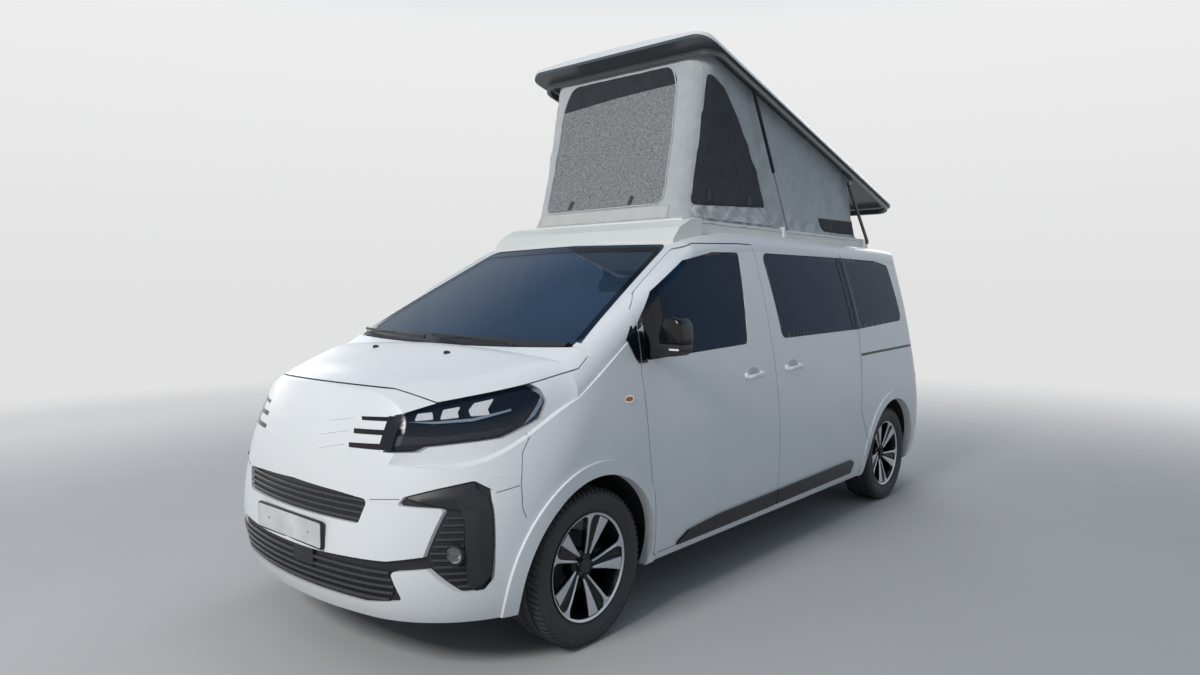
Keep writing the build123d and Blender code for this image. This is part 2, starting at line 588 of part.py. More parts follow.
# Tail
save("tailgate", (wall & gate_zone) - gate_window_cut + swing_knuckle + other_side(swing_knuckle))
save("tailgate_glass", glass_sheet & gate_window)
save("tail_lamps", both(wall & tail_lamp_zone))
save("rear_bumper", (painted & rear_bumper_zone) - arch_cut)

# Floor, bulkhead and wheel housings
floor = inside & block(TAIL_X, FIREWALL_X + FIREWALL_T, -FAR, FAR, FLOOR_LOW, FLOOR_TOP)
bulkhead = inside & block(FIREWALL_X, FIREWALL_X + FIREWALL_T, -FAR, FAR, FLOOR_TOP + SEAT, FIREWALL_TOP)
housings = []
for axle, inner in ((FRONT_AXLE, FRONT_HOUSING_Y), (REAR_AXLE, REAR_HOUSING_Y)):
    room = across(axle, TYRE_R, ARCH_R + LINER_T + SEAT, inner - LINER_T - SEAT, FAR)
    floor = floor - room - other_side(room)
    bulkhead = bulkhead - room - other_side(room)
    drum = across(axle, TYRE_R, ARCH_R + LINER_T, inner - LINER_T, FAR) - across(axle, TYRE_R, ARCH_R, inner, FAR)
    drum = drum & inside & block(TAIL_X, NOSE_X, 0, FAR, FLOOR_LOW, HOUSING_TOP)
    housings += both(drum).solids()
sill = inside & block(*SILL_X, SILL_IN, FAR, BODY_BOTTOM, FLOOR_LOW - SEAT)
save("floor_pan", Compound(list(floor.solids()) + list(both(sill).solids())))
save("bulkhead", bulkhead)
save("wheel_housings", Compound(housings))

# Raised roof: a shallow tray in its own plane, then turned and set on the arms' upper pivots
meet, middle, end = tangent_outline(ROOF_RIM_TOP + ROOF_CROWN, ROOF_HALF ** 2 / (2 * ROOF_CROWN), ROOF_EDGE_ARC, ROOF_HALF)
section = [
    ThreePointArc((-meet[1], meet[0]), (0, ROOF_RIM_TOP + ROOF_CROWN), (meet[1], meet[0])),
    ThreePointArc((meet[1], meet[0]), (middle[1], middle[0]), (end[1], end[0])),
    Line((end[1], end[0]), (ROOF_HALF, ROOF_LIP_LOW)),
    Line((ROOF_HALF, ROOF_LIP_LOW), (-ROOF_HALF, ROOF_LIP_LOW)),
    Line((-ROOF_HALF, ROOF_LIP_LOW), (-end[1], end[0])),
    ThreePointArc((-end[1], end[0]), (-middle[1], middle[0]), (-meet[1], meet[0])),
]
tray = extrude(Plane.YZ.offset(-ROOF_BEHIND) * make_face(section), amount=ROOF_BEHIND + ROOF_AHEAD, dir=(1, 0, 0))


def roof_plan(front, rear, half, low, high):
    """An upright slab with rounded corners under the roof, between two heights in the roof's own plane."""
    outline = Pos((front - rear) / 2, 0) * RectangleRounded(front + rear, 2 * half, ROOF_CORNER)
    return Pos(0, 0, low) * extrude(outline, amount=high - low)


tray = tray & roof_plan(ROOF_AHEAD, ROOF_BEHIND, ROOF_HALF, 0, 400)
rim_plan = (ROOF_AHEAD - LIP_FRONT, ROOF_BEHIND - LIP_SIDE, ROOF_HALF - LIP_SIDE)
hollow_plan = [size - RIM_T for size in rim_plan]
tray = tray + roof_plan(*rim_plan, ROOF_RIM_LOW, ROOF_LINER)
tray = tray - roof_plan(*hollow_plan, 0, ROOF_LINER)
arm_lug = block(-18, 18, ARM_OUT + 1, ARM_OUT + 10, -14, ROOF_LINER) + across(0, 0, PIN_R, ARM_IN, ARM_OUT + 5)
strut_lug = block(STRUT_HEAD[0] - 16, STRUT_HEAD[0] + 16, LINK_Y + BARREL_R + 1.5, hollow_plan[2] + 1,
                  STRUT_HEAD[1] - 16, ROOF_LINER)
strut_lug = strut_lug + across(*STRUT_HEAD, PIN_R, LINK_Y - BARREL_R, LINK_Y + BARREL_R + 5)
lugs = arm_lug + strut_lug
raised = tray + lugs + other_side(lugs)
place = Pos(ARM_TOP[0], 0, ARM_TOP[1]) * Rot(0, -ROOF_TILT, 0)
save("pop_roof", place * raised)

# Lifting arms between the body and the raised roof
arm_length = hypot(ARM_TOP[0] - ARM_BASE[0], ARM_TOP[1] - ARM_BASE[1])
arm_angle = degrees(atan2(ARM_TOP[1] - ARM_BASE[1], ARM_TOP[0] - ARM_BASE[0]))
arm = block(0, arm_length, ARM_IN, ARM_OUT, -ARM_H / 2, ARM_H / 2)
arm = arm + across(0, 0, ARM_H / 2, ARM_IN, ARM_OUT) + across(arm_length, 0, ARM_H / 2, ARM_IN, ARM_OUT)
arm = arm - across(0, 0, PIN_R + PIN_FIT, 0, FAR) - across(arm_length, 0, PIN_R + PIN_FIT, 0, FAR)
save("roof_arms", both(Pos(ARM_BASE[0], 0, ARM_BASE[1]) * Rot(0, -arm_angle, 0) * arm))

# Gas struts: the barrel hangs from the roof and the rod stands on the body
head_point = (place * Pos(STRUT_HEAD[0], 0, STRUT_HEAD[1])).position
strut_run = (STRUT_FOOT[0] - head_point.X, STRUT_FOOT[1] - head_point.Z)
strut_length = hypot(*strut_run)
strut_angle = degrees(atan2(strut_run[1], strut_run[0]))
strut_place = Pos(head_point.X, LINK_Y, head_point.Z) * Rot(0, -strut_angle, 0)
tube = Pos(BARREL_LENGTH / 2, 0, 0) * Rot(0, 90, 0) * Cylinder(BARREL_R, BARREL_LENGTH)
tube = tube + across(0, 0, BARREL_R + 3, -BARREL_R, BARREL_R)
tube = tube - across(0, 0, PIN_R + PIN_FIT, -FAR, FAR)
bore_start = BARREL_LENGTH - ROD_OVERLAP - ROD_STROKE - 20
bore = Pos((bore_start + BARREL_LENGTH + 10) / 2, 0, 0) * Rot(0, 90, 0) * Cylinder(ROD_R + PIN_FIT, BARREL_LENGTH + 10 - bore_start)
save("strut_barrels", both(strut_place * (tube - bore)))
rod_start = BARREL_LENGTH - ROD_OVERLAP
rod = Pos((rod_start + strut_length) / 2, 0, 0) * Rot(0, 90, 0) * Cylinder(ROD_R, strut_length - rod_start)
rod = rod + across(strut_length, 0, 9, -5, 5)
save("strut_rods", both(strut_place * rod))

# Frame round the roof opening with the front cap and the linkage brackets
def cloth_face(front, rear, inset, plane):
    """Outline of the cloth on a plane whose origin lies midway between its front and rear edges."""
    outline = RectangleRounded(front - rear - 2 * inset, 2 * (CLOTH_HALF - inset), CLOTH_CORNER - inset)
    return plane * outline


cloth_low = RING_TOP - 20
cloth_mid = (CLOTH_FRONT + CLOTH_REAR) / 2
cloth_room = extrude(cloth_face(CLOTH_FRONT, CLOTH_REAR, -SEAT, Plane((cloth_mid, 0, 0))), amount=2400)
ring = block(RING_REAR, RING_FRONT, -RING_HALF, RING_HALF, ROOF_LOW, RING_TOP) - cloth_room
cap = side_prism(CAP, -CAP_HALF, CAP_HALF) - cloth_room
base_bracket = block(ARM_BASE[0] - 22, ARM_BASE[0] + 22, RING_HALF - 20, ARM_IN - 2, ROOF_LOW, ARM_BASE[1] + 16)
base_bracket = base_bracket + across(*ARM_BASE, PIN_R, ARM_IN - 20, ARM_OUT)
foot_bracket = block(STRUT_FOOT[0] - 20, STRUT_FOOT[0] + 20, RING_HALF - 20, LINK_Y - 9, ROOF_LOW, STRUT_FOOT[1] + 12)
brackets = base_bracket + foot_bracket
save("roof_ring", (ring + cap + brackets + other_side(brackets)) - outside)

# Cloth walls of the sleeping space, between the frame and the raised roof's lining
top_front = (CLOTH_FRONT_TOP - ARM_TOP[0] + ROOF_LINER * sin(radians(ROOF_TILT))) / cos(radians(ROOF_TILT))
top_rear = (CLOTH_REAR_TOP - ARM_TOP[0] + ROOF_LINER * sin(radians(ROOF_TILT))) / cos(radians(ROOF_TILT))


def cloth_tube(inset, extra):
    """Space inside the cloth's outline, from its foot to the lining, carried past both ends by an extra."""
    foot_plane = Plane((cloth_mid, 0, cloth_low - extra))
    head_plane = Plane(place * Pos((top_front + top_rear) / 2, 0, ROOF_LINER - SEAT + extra))
    return loft([cloth_face(CLOTH_FRONT, CLOTH_REAR, inset, foot_plane),
                 cloth_face(top_front, top_rear, inset, head_plane)], ruled=True)


save("roof_tent", cloth_tube(0.0, 0.0) - cloth_tube(CLOTH_T, 1.0))

# Inside
save("dashboard", side_prism(DASH, -DASH_HALF, DASH_HALF, radius=30))
rim_ring = Torus(WHEEL_R, 15) + Cylinder(60, 40) + Box(2 * WHEEL_R, 50, 16) + Pos(0, 0, -110) * Cylinder(24, 200)
rim_ring = Pos(*WHEEL_AT) * Rot(0, WHEEL_LEAN, 0) * rim_ring
save("steering_wheel", rim_ring - parts["dashboard"])
seats = []
for y in (SEAT_Y, -SEAT_Y):
    for points, width in ((SEAT_CUSHION, SEAT_W), (SEAT_BACK, SEAT_W), (HEADREST, HEADREST_W)):
        seats.append(side_prism(points, y - width / 2, y + width / 2, radius=30, grow=-SEAM / 2))
    seats.append(block(*SEAT_BASE_X, y - SEAT_BASE_W / 2, y + SEAT_BASE_W / 2, FLOOR_TOP, SEAT_CUSHION[0][1] - SEAM))
for points in (BENCH_CUSHION, BENCH_BACK):
    seats.append(side_prism(points, BENCH_Y0, BENCH_Y1, radius=30, grow=-SEAM / 2))
seats.append(block(*BENCH_BASE_X, BENCH_Y0 + 60, BENCH_Y1 - 60, FLOOR_TOP, BENCH_CUSHION[0][1] - SEAM))
save("seats", Compound([s for shape in seats for s in shape.solids()]))
save("kitchen_unit", block(*KITCHEN_X, *KITCHEN_Y, FLOOR_TOP, KITCHEN_TOP))

# Engine, frames, tank and exhaust
save("engine_block", fillet(block(1420, 2120, -RAIL_IN + SEAT, RAIL_IN - SEAT, 420, 960).edges(), 30))
frame_rail = block(FIREWALL_X + FIREWALL_T + SEAT, 2300, RAIL_IN, RAIL_IN + 80, 470, 560)
arm_plan = Polyline((FRONT_AXLE - 60, 380), (FRONT_AXLE + 60, 380), (FRONT_AXLE + 24, KINGPIN_Y - 60), (FRONT_AXLE + 24, KINGPIN_Y + 20),
                    (FRONT_AXLE - 24, KINGPIN_Y + 20), (FRONT_AXLE - 24, KINGPIN_Y - 60), close=True)
lower_arm = Pos(0, 0, 200) * extrude(make_face(arm_plan), amount=40)
lower_arm = lower_arm + Pos(FRONT_AXLE, KINGPIN_Y, 270) * Cylinder(KINGPIN_R, 60)
cross = block(1480, 1690, -440, 440, 200, 262)
subframe = cross + lower_arm + other_side(lower_arm)
post = block(1490, 1560, 380, 440, 262, 470)
post = post + other_side(post)
rails = frame_rail + other_side(frame_rail)
save("front_subframe", subframe + post + rails)
axle = across(REAR_AXLE, TYRE_R, 48, -RIM_FACE_Y + 90, RIM_FACE_Y - 90)
axle = axle + across(REAR_AXLE, TYRE_R, SPINDLE_R, -RIM_FACE_Y + 12, RIM_FACE_Y - 12)
trailing = block(REAR_AXLE - 60, -1120, 400, 470, 300, FLOOR_LOW - SEAT)
save("rear_axle", axle + trailing + other_side(trailing))
tank = fillet(block(-900, 150, -420, 240, 240, FLOOR_LOW - SEAT).edges(), 24)
pipe = Pos(-1400, -520, 262) * Rot(0, 90, 0) * Cylinder(28, 1500)
silencer = fillet(block(-2280, -1900, -600, 200, 240, FLOOR_LOW - SEAT).edges(), 24)
save("tank_and_exhaust", Compound([tank, silencer + pipe]))

# Steered hubs
upright = block(FRONT_AXLE - 32, FRONT_AXLE + 32, KINGPIN_Y - 40, KINGPIN_Y + 42, 246, 470)
disc = across(FRONT_AXLE, TYRE_R, 140, KINGPIN_Y + 42, KINGPIN_Y + 66)
spindle = across(FRONT_AXLE, TYRE_R, SPINDLE_R, KINGPIN_Y, RIM_FACE_Y - 12)
kingpin_bore = Pos(FRONT_AXLE, KINGPIN_Y, 270) * Cylinder(KINGPIN_R + PIN_FIT, 70)
save_pair("knuckle", (upright - kingpin_bore) + disc + spindle)

# Wheels: one tyre and one rim, copied to the four corners
tyre = revolve(side_face(TYRE_SECTION, radius=26), axis=Axis.Y)
barrel_section = Polyline(*RIM_SECTION, close=True)
rim = revolve(make_face(barrel_section), axis=Axis.Y)
hub_disc = Pos(0, RIM_FACE - 20, 0) * Rot(90, 0, 0) * Cylinder(74, 60)
spoke = block(60, RIM_R - 14, RIM_FACE - 34, RIM_FACE - 6, -13, 13)
spokes = [Rot(0, angle + side_angle, 0) * Pos(0, 0, offset_z) * spoke
          for angle in range(0, 360, 72) for side_angle, offset_z in ((9, 6), (-9, -6))]
for item in spokes:
    rim = rim + item
rim = rim + hub_disc - across(0, 0, SPINDLE_R + SPINDLE_FIT, -FAR, RIM_FACE - 8)
for corner_name, x, left in (("fl", FRONT_AXLE, 1), ("fr", FRONT_AXLE, 0), ("rl", REAR_AXLE, 1), ("rr", REAR_AXLE, 0)):
    at = Pos(x, TRACK_HALF, TYRE_R)
    for kind, shape in (("tyre", tyre), ("rim", rim)):
        placed = at * shape
        save(f"{kind}_{corner_name}", placed if left else other_side(placed))

os.makedirs("parts", exist_ok=True)
for name, shape in parts.items():
    export_step(shape, f"parts/{name}.step")
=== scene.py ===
import math
import bpy
import bmesh
from mathutils import Matrix, Vector, geometry, noise
from mathutils.bvhtree import BVHTree


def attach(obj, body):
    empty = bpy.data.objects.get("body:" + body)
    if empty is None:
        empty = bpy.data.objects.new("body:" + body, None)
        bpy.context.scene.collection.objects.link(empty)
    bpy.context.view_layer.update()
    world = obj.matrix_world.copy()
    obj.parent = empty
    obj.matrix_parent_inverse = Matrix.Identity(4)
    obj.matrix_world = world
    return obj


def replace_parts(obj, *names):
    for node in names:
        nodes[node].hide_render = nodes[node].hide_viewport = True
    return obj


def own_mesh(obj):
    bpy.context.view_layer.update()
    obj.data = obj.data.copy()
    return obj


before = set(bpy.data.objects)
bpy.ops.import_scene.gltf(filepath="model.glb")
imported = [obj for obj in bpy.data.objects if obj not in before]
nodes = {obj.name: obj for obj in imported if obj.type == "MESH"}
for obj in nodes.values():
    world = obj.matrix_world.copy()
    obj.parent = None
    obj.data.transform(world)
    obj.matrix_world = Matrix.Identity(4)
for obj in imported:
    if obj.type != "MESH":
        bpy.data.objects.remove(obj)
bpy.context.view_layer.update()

scene = bpy.context.scene
scene.view_settings.view_transform = "Standard"
print("stage: frame loaded,", len(nodes), "nodes")

# the photo's camera: place in metres, angles in degrees, lens and sensor in millimetres
cameraView = {"place": (4.1351, 3.1618, 1.5237), "yaw": -139.106, "pitch": -3.235,
              "lens": 24.178, "sensor": 36.0}


def addObject(name, data):
    obj = bpy.data.objects.new(name, data)
    scene.collection.objects.link(obj)
    return obj


def aim(obj, place, direction):
    obj.location = place
    obj.rotation_euler = direction.to_track_quat("-Z", "Y").to_euler()


def addCamera(view):
    yaw, pitch = math.radians(view["yaw"]), math.radians(view["pitch"])
    look = Vector((math.cos(pitch) * math.cos(yaw), math.cos(pitch) * math.sin(yaw), math.sin(pitch)))
    data = bpy.data.cameras.new("photoCamera")
    data.sensor_width = view["sensor"]
    data.lens = view["lens"]
    scene.camera = addObject("photoCamera", data)
    aim(scene.camera, view["place"], look)


addCamera(cameraView)
print("stage: camera")


# finishes

def newMaterial(name, **values):
    mat = bpy.data.materials.new(name)
    mat.use_nodes = True
    shader = mat.node_tree.nodes["Principled BSDF"]
    for key, value in values.items():
        shader.inputs[key.replace("_", " ")].default_value = value
    return mat, mat.node_tree, shader


def addNode(tree, kind, values=None, **settings):
    node = tree.nodes.new(kind)
    for key, value in settings.items():
        setattr(node, key, value)
    for key, value in (values or {}).items():
        node.inputs[key].default_value = value
    return node


def wire(tree, *pairs):
    for source, target in pairs:
        tree.links.new(source, target)


# a math node whose terms are numbers or outputs of other nodes
def mathOn(tree, operation, *terms, clamp=False):
    node = addNode(tree, "ShaderNodeMath", operation=operation, use_clamp=clamp)
    for socket, term in zip(node.inputs, terms):
        if isinstance(term, bpy.types.NodeSocket):
            tree.links.new(term, socket)
        else:
            socket.default_value = term
    return node.outputs["Value"]


def alongOn(tree, source, direction):
    node = addNode(tree, "ShaderNodeVectorMath", {1: direction}, operation="DOT_PRODUCT")
    tree.links.new(source, node.inputs[0])
    return node.outputs["Value"]


def noiseOn(tree, scale, detail=3.0, rough=0.55):
    coords = addNode(tree, "ShaderNodeTexCoord")
    texture = addNode(tree, "ShaderNodeTexNoise", {"Scale": scale, "Detail": detail, "Roughness": rough})
    tree.links.new(coords.outputs["Object"], texture.inputs["Vector"])
    return texture.outputs["Fac"]


def rampTo(tree, source, socket, stops):
    ramp = addNode(tree, "ShaderNodeValToRGB")
    marks = ramp.color_ramp.elements
    marks[0].position, marks[0].color = stops[0]
    marks[1].position, marks[1].color = stops[-1]
    for position, color in stops[1:-1]:
        marks.new(position).color = color
    wire(tree, (source, ramp.inputs["Fac"]), (ramp.outputs["Color"], socket))


def bumpFrom(tree, shader, source, strength, distance):
    bump = addNode(tree, "ShaderNodeBump", {"Strength": strength, "Distance": distance})
    wire(tree, (source, bump.inputs["Height"]), (bump.outputs["Normal"], shader.inputs["Normal"]))


def grey(v):
    return (v, v, v, 1)


def opaque(color, share=1.0):
    return tuple(c * share for c in color) + (1,)


def makePaint(name, low, high):
    mat, tree, shader = newMaterial(name, Roughness=0.40, Specular_IOR_Level=0.35, Coat_Weight=0.28,
                                    Coat_Roughness=0.18)
    rampTo(tree, noiseOn(tree, scale=2.2, detail=4.0), shader.inputs["Base Color"],
           [(0.3, opaque(low)), (0.7, opaque(high))])
    bumpFrom(tree, shader, noiseOn(tree, scale=260.0, detail=2.0), strength=0.02, distance=0.0004)
    return mat


def makePlastic(name, color, roughness, grain, strength, extra=None):
    mat, tree, shader = newMaterial(name, **{"Specular_IOR_Level": 0.32, **(extra or {})})
    pattern = noiseOn(tree, grain)
    spread, smoothest = 0.06, 0.03
    rampTo(tree, pattern, shader.inputs["Base Color"], [(0.35, opaque(color, 0.82)), (0.65, opaque(color))])
    rampTo(tree, pattern, shader.inputs["Roughness"],
           [(0.3, grey(max(roughness - spread, smoothest))), (0.7, grey(roughness + spread))])
    bumpFrom(tree, shader, pattern, strength, distance=0.0006)
    return mat


def makeGlass(name, color, alpha, shine=0.5):
    mat, tree, shader = newMaterial(name, Roughness=0.02, IOR=1.5, Specular_IOR_Level=shine, Alpha=alpha)
    rampTo(tree, noiseOn(tree, scale=1.4, detail=2.0), shader.inputs["Base Color"],
           [(0.3, opaque(color, 0.8)), (0.7, opaque(color))])
    return mat


def makeCloth(name, low, high, weave, fold):
    mat, tree, shader = newMaterial(name, Roughness=0.88, Sheen_Weight=0.15)
    rampTo(tree, noiseOn(tree, scale=9.0, detail=5.0, rough=0.6), shader.inputs["Base Color"],
           [(0.3, opaque(low)), (0.7, opaque(high))])
    weaveShare = 0.35
    height = mathOn(tree, "MULTIPLY_ADD", noiseOn(tree, weave, detail=2.0, rough=0.7), weaveShare,
                    noiseOn(tree, fold, detail=4.0, rough=0.6))
    bumpFrom(tree, shader, height, strength=0.8, distance=0.012)
    return mat


def makeNet(name, dark, pale):
    mat, tree, shader = newMaterial(name, Roughness=0.55)
    between = tuple((a + b) / 2 for a, b in zip(dark, pale))
    rampTo(tree, noiseOn(tree, scale=95.0, detail=5.0, rough=0.75), shader.inputs["Base Color"],
           [(0.36, opaque(dark)), (0.5, opaque(between)), (0.66, opaque(pale))])
    threads = noiseOn(tree, scale=140.0, detail=4.0, rough=0.7)
    bumpFrom(tree, shader, threads, strength=0.45, distance=0.004)
    return mat


# white shell of the raised roof: under its lip the lining colour is dark, partly a dark seal and partly
# painted shade, faces that turn downward get the same painted shade, and the white edge is thinner at the
# nose
roofPlane = {"pivot": (-1.540, 0.0, 2.313), "tilt": 15.2, "lip": 0.0735, "nose": (1.94, 2.03),
             "noseRise": 0.018, "edge": (400.0, 0.5), "upper": (8.0, 4.0),
             "lining": (0.075, 0.080, 0.085), "shell": (0.80, 0.81, 0.80)}


def makeRoofShell(plane):
    mat, tree, shader = newMaterial("roofShell", Roughness=0.38, Coat_Weight=0.4, Coat_Roughness=0.08)
    tilt, pivot = math.radians(plane["tilt"]), Vector(plane["pivot"])
    upward = Vector((-math.sin(tilt), 0, math.cos(tilt)))
    forward = Vector((math.cos(tilt), 0, math.sin(tilt)))
    place = addNode(tree, "ShaderNodeTexCoord").outputs["Object"]
    facing = addNode(tree, "ShaderNodeNewGeometry").outputs["True Normal"]
    low, high = (forward.dot(pivot) + reach for reach in plane["nose"])
    reaches = {"From Min": low, "From Max": high, "To Max": plane["noseRise"]}
    rise = addNode(tree, "ShaderNodeMapRange", reaches)
    tree.links.new(alongOn(tree, place, forward), rise.inputs["Value"])
    height = mathOn(tree, "SUBTRACT", alongOn(tree, place, upward), rise.outputs["Result"])
    over = mathOn(tree, "SUBTRACT", height, upward.dot(pivot) + plane["lip"])
    edge = mathOn(tree, "MULTIPLY_ADD", over, *plane["edge"], clamp=True)
    # painted shade: faces that turn downward take the dark lining colour, as does all below the lip, where a
    # dark seal sits
    upper = mathOn(tree, "MULTIPLY_ADD", alongOn(tree, facing, upward), *plane["upper"], clamp=True)
    rampTo(tree, mathOn(tree, "MINIMUM", edge, upper), shader.inputs["Base Color"],
           [(0.35, opaque(plane["lining"])), (0.65, opaque(plane["shell"]))])
    bumpFrom(tree, shader, noiseOn(tree, scale=180.0, detail=2.0), strength=0.05, distance=0.0006)
    return mat


# low and high colour
paints = {
    "whitePaint": ((0.76, 0.775, 0.785), (0.80, 0.81, 0.815)),
    "creamShell": ((0.78, 0.785, 0.74), (0.82, 0.82, 0.78)),
    # painted shade: darker white for the hollows behind the door handles
    "shadeWhite": ((0.50, 0.52, 0.55), (0.54, 0.56, 0.58)),
}
# colour, roughness, scale and strength of the grain, and what else the shader is given
plastics = {
    "satinBlack": ((0.026, 0.027, 0.030), 0.42, 420.0, 0.12),
    "trimGrey": ((0.030, 0.031, 0.035), 0.40, 500.0, 0.08),
    "ribGrey": ((0.066, 0.068, 0.072), 0.32, 420.0, 0.05),
    "glossBlack": ((0.010, 0.010, 0.012), 0.10, 300.0, 0.01),
    "roughBlack": ((0.012, 0.012, 0.013), 0.72, 160.0, 0.2),
    "fritBlack": ((0.006, 0.008, 0.012), 0.12, 260.0, 0.0, {"Specular_IOR_Level": 0.18}),
    "mirrorGlass": ((0.62, 0.66, 0.70), 0.04, 40.0, 0.0, {"Metallic": 1.0}),
    "redLens": ((0.32, 0.006, 0.008), 0.08, 200.0, 0.01),
    "amberLens": ((0.62, 0.20, 0.02), 0.12, 200.0, 0.02),
    # painted glow: the clear lenses and reflectors shine faintly, though no lamp is lit
    "clearLens": ((0.82, 0.84, 0.86), 0.10, 160.0, 0.02,
                  {"Emission_Color": (1, 1, 1, 1), "Emission_Strength": 0.12}),
    "blueLens": ((0.34, 0.42, 0.52), 0.16, 160.0, 0.02),
    "chromeBowl": ((0.70, 0.71, 0.73), 0.12, 240.0, 0.01, {"Metallic": 1.0}),
    "machinedAlloy": ((0.70, 0.71, 0.72), 0.30, 700.0, 0.03, {"Metallic": 0.55}),
    "bareSteel": ((0.22, 0.22, 0.23), 0.42, 180.0, 0.1, {"Metallic": 0.6}),
    "rimBlack": ((0.012, 0.012, 0.014), 0.24, 260.0, 0.03),
    "castIron": ((0.05, 0.05, 0.052), 0.65, 120.0, 0.3),
    "tyreRubber": ((0.056, 0.057, 0.060), 0.66, 220.0, 0.25),
    "paleBoard": ((0.42, 0.40, 0.37), 0.5, 60.0, 0.03),
    "plateWhite": ((0.72, 0.73, 0.73), 0.35, 6.0, 0.0),
}
# colour, opacity and shine
glasses = {
    # the blue of the window glasses is partly their dark tint and partly painted reflection of the sky
    "darkGlass": ((0.010, 0.036, 0.082), 0.93, 0.07),
    "doorGlass": ((0.010, 0.036, 0.080), 0.82, 0.07),
    "pillarGlass": ((0.010, 0.034, 0.074), 1.0, 0.07),
    "screenGlass": ((0.035, 0.070, 0.125), 0.60),
    "lampGlass": ((0.02, 0.035, 0.065), 0.20),
    "fogGlass": ((0.50, 0.53, 0.56), 0.22),
}
# low and high colour, scale of the weave and of the folds
cloths = {
    "tentCloth": ((0.56, 0.585, 0.60), (0.65, 0.665, 0.67), 900.0, 38.0),
    "tentSkirt": ((0.64, 0.65, 0.63), (0.72, 0.72, 0.70), 900.0, 22.0),
    "darkNet": ((0.012, 0.015, 0.021), (0.022, 0.027, 0.036), 1300.0, 30.0),
    "seatCloth": ((0.05, 0.052, 0.056), (0.075, 0.077, 0.082), 1100.0, 40.0),
}
# dark and pale colour
nets = {"greyNet": ((0.085, 0.09, 0.095), (0.36, 0.37, 0.37))}

finish = {"roofShell": makeRoofShell(roofPlane)}
for make, table in ((makePaint, paints), (makePlastic, plastics), (makeGlass, glasses), (makeCloth, cloths),
                    (makeNet, nets)):
    for key, row in table.items():
        finish[key] = make(key, *row)

nodeFinish = {
    "whitePaint": ["side_left", "side_right", "roof_panel", "front_wings", "nose_panel", "front_bumper",
                   "sliding_door_left", "sliding_door_right", "rear_bumper", "bonnet", "tailgate",
                   "door_front_left", "door_front_right"],
    "creamShell": ["roof_ring"],
    "roofShell": ["pop_roof"],
    "satinBlack": ["front_grilles", "cowl", "dashboard", "steering_wheel", "roof_arms"],
    "glossBlack": ["slide_trims", "door_trim_left", "door_trim_right", "mirror_left", "mirror_right",
                   "strut_barrels"],
    "roughBlack": ["floor_pan", "bulkhead", "wheel_housings", "front_subframe", "rear_axle"],
    "darkGlass": ["side_glass", "tailgate_glass"],
    "doorGlass": ["door_glass_left", "door_glass_right"],
    "screenGlass": ["windscreen"],
    "lampGlass": ["headlamps"],
    "redLens": ["tail_lamps"],
    "bareSteel": ["tank_and_exhaust", "strut_rods"],
    "castIron": ["engine_block", "knuckle_left", "knuckle_right"],
    "tentCloth": ["roof_tent"],
    "seatCloth": ["seats"],
    "paleBoard": ["kitchen_unit"],
    "plateWhite": ["number_plate"],
    "tyreRubber": ["tyre_fl", "tyre_fr", "tyre_rl", "tyre_rr"],
    "rimBlack": ["rim_fl", "rim_fr", "rim_rl", "rim_rr"],
}
for key, names in nodeFinish.items():
    for name in names:
        data = nodes[name].data
        data.materials.clear()
        data.materials.append(finish[key])
print("stage: finishes on", sum(len(v) for v in nodeFinish.values()), "nodes")


# mesh tools: a part is a list of points and a list of faces

creaseAngle, allSmooth = 32.0, 180.0
tiny = 1e-6


def softShade(data, sharp):
    data.shade_smooth()
    data.set_sharp_from_angle(angle=math.radians(sharp))


def cleanNormals(obj):
    bm = bmesh.new()
    bm.from_mesh(obj.data)
    bmesh.ops.remove_doubles(bm, verts=bm.verts, dist=tiny)
    bmesh.ops.recalc_face_normals(bm, faces=bm.faces)
    bm.to_mesh(obj.data)
    bm.free()


def addPiece(name, part, key, body="body", sharp=creaseAngle, clean=False):
    data = bpy.data.meshes.new(name)
    data.from_pydata([tuple(v) for v in part[0]], [], [tuple(f) for f in part[1]])
    data.validate()
    data.materials.append(finish[key])
    obj = addObject(name, data)
    softShade(data, sharp)
    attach(obj, body)
    if clean:
        cleanNormals(obj)
    return obj


def joined(*parts):
    verts, faces = [], []
    for v, f in parts:
        base = len(verts)
        verts += list(v)
        faces += [tuple(base + i for i in face) for face in f]
    return verts, faces


def otherSide(part):
    verts, faces = part
    return [Vector((v[0], -v[1], v[2])) for v in verts], [tuple(reversed(f)) for f in faces]


def bothSides(part):
    return joined(part, otherSide(part))


def mirroredLines(lines):
    return lines + [[Vector((p.x, -p.y, p.z)) for p in line] for line in lines]


def addPair(name, part, key, bodies, sharp=creaseAngle, clean=False):
    addPiece(name + "Left", part, key, bodies[0], sharp, clean)
    addPiece(name + "Right", otherSide(part), key, bodies[1], sharp, clean)


def moved(part, matrix):
    return [matrix @ Vector(v) for v in part[0]], part[1]


# the whole of an outline that is even about its middle line, from one half
def evenOutline(*half):
    return [(-half[0][0], half[0][1])] + list(half) + [(-y, z) for y, z in reversed(half[1:]) if y]


def shrunk(points, share):
    middle = sum((Vector(p) for p in points[1:]), Vector(points[0])) / len(points)
    return [middle + (Vector(p) - middle) * share for p in points]


def along(a, b, count):
    return [Vector(a).lerp(Vector(b), k / count) for k in range(count + 1)]


def oval(x, z, halfWide, halfHigh, count=28):
    turns = [2 * math.pi * k / count for k in range(count)]
    return [(x + halfWide * math.cos(a), z + halfHigh * math.sin(a)) for a in turns]


def edgeAt(level, rows):
    for (z0, y0), (z1, y1) in zip(rows, rows[1:]):
        if z0 <= level <= z1:
            return y0 + (y1 - y0) * (level - z0) / (z1 - z0)
    return rows[0][1] if level < rows[0][0] else rows[-1][1]


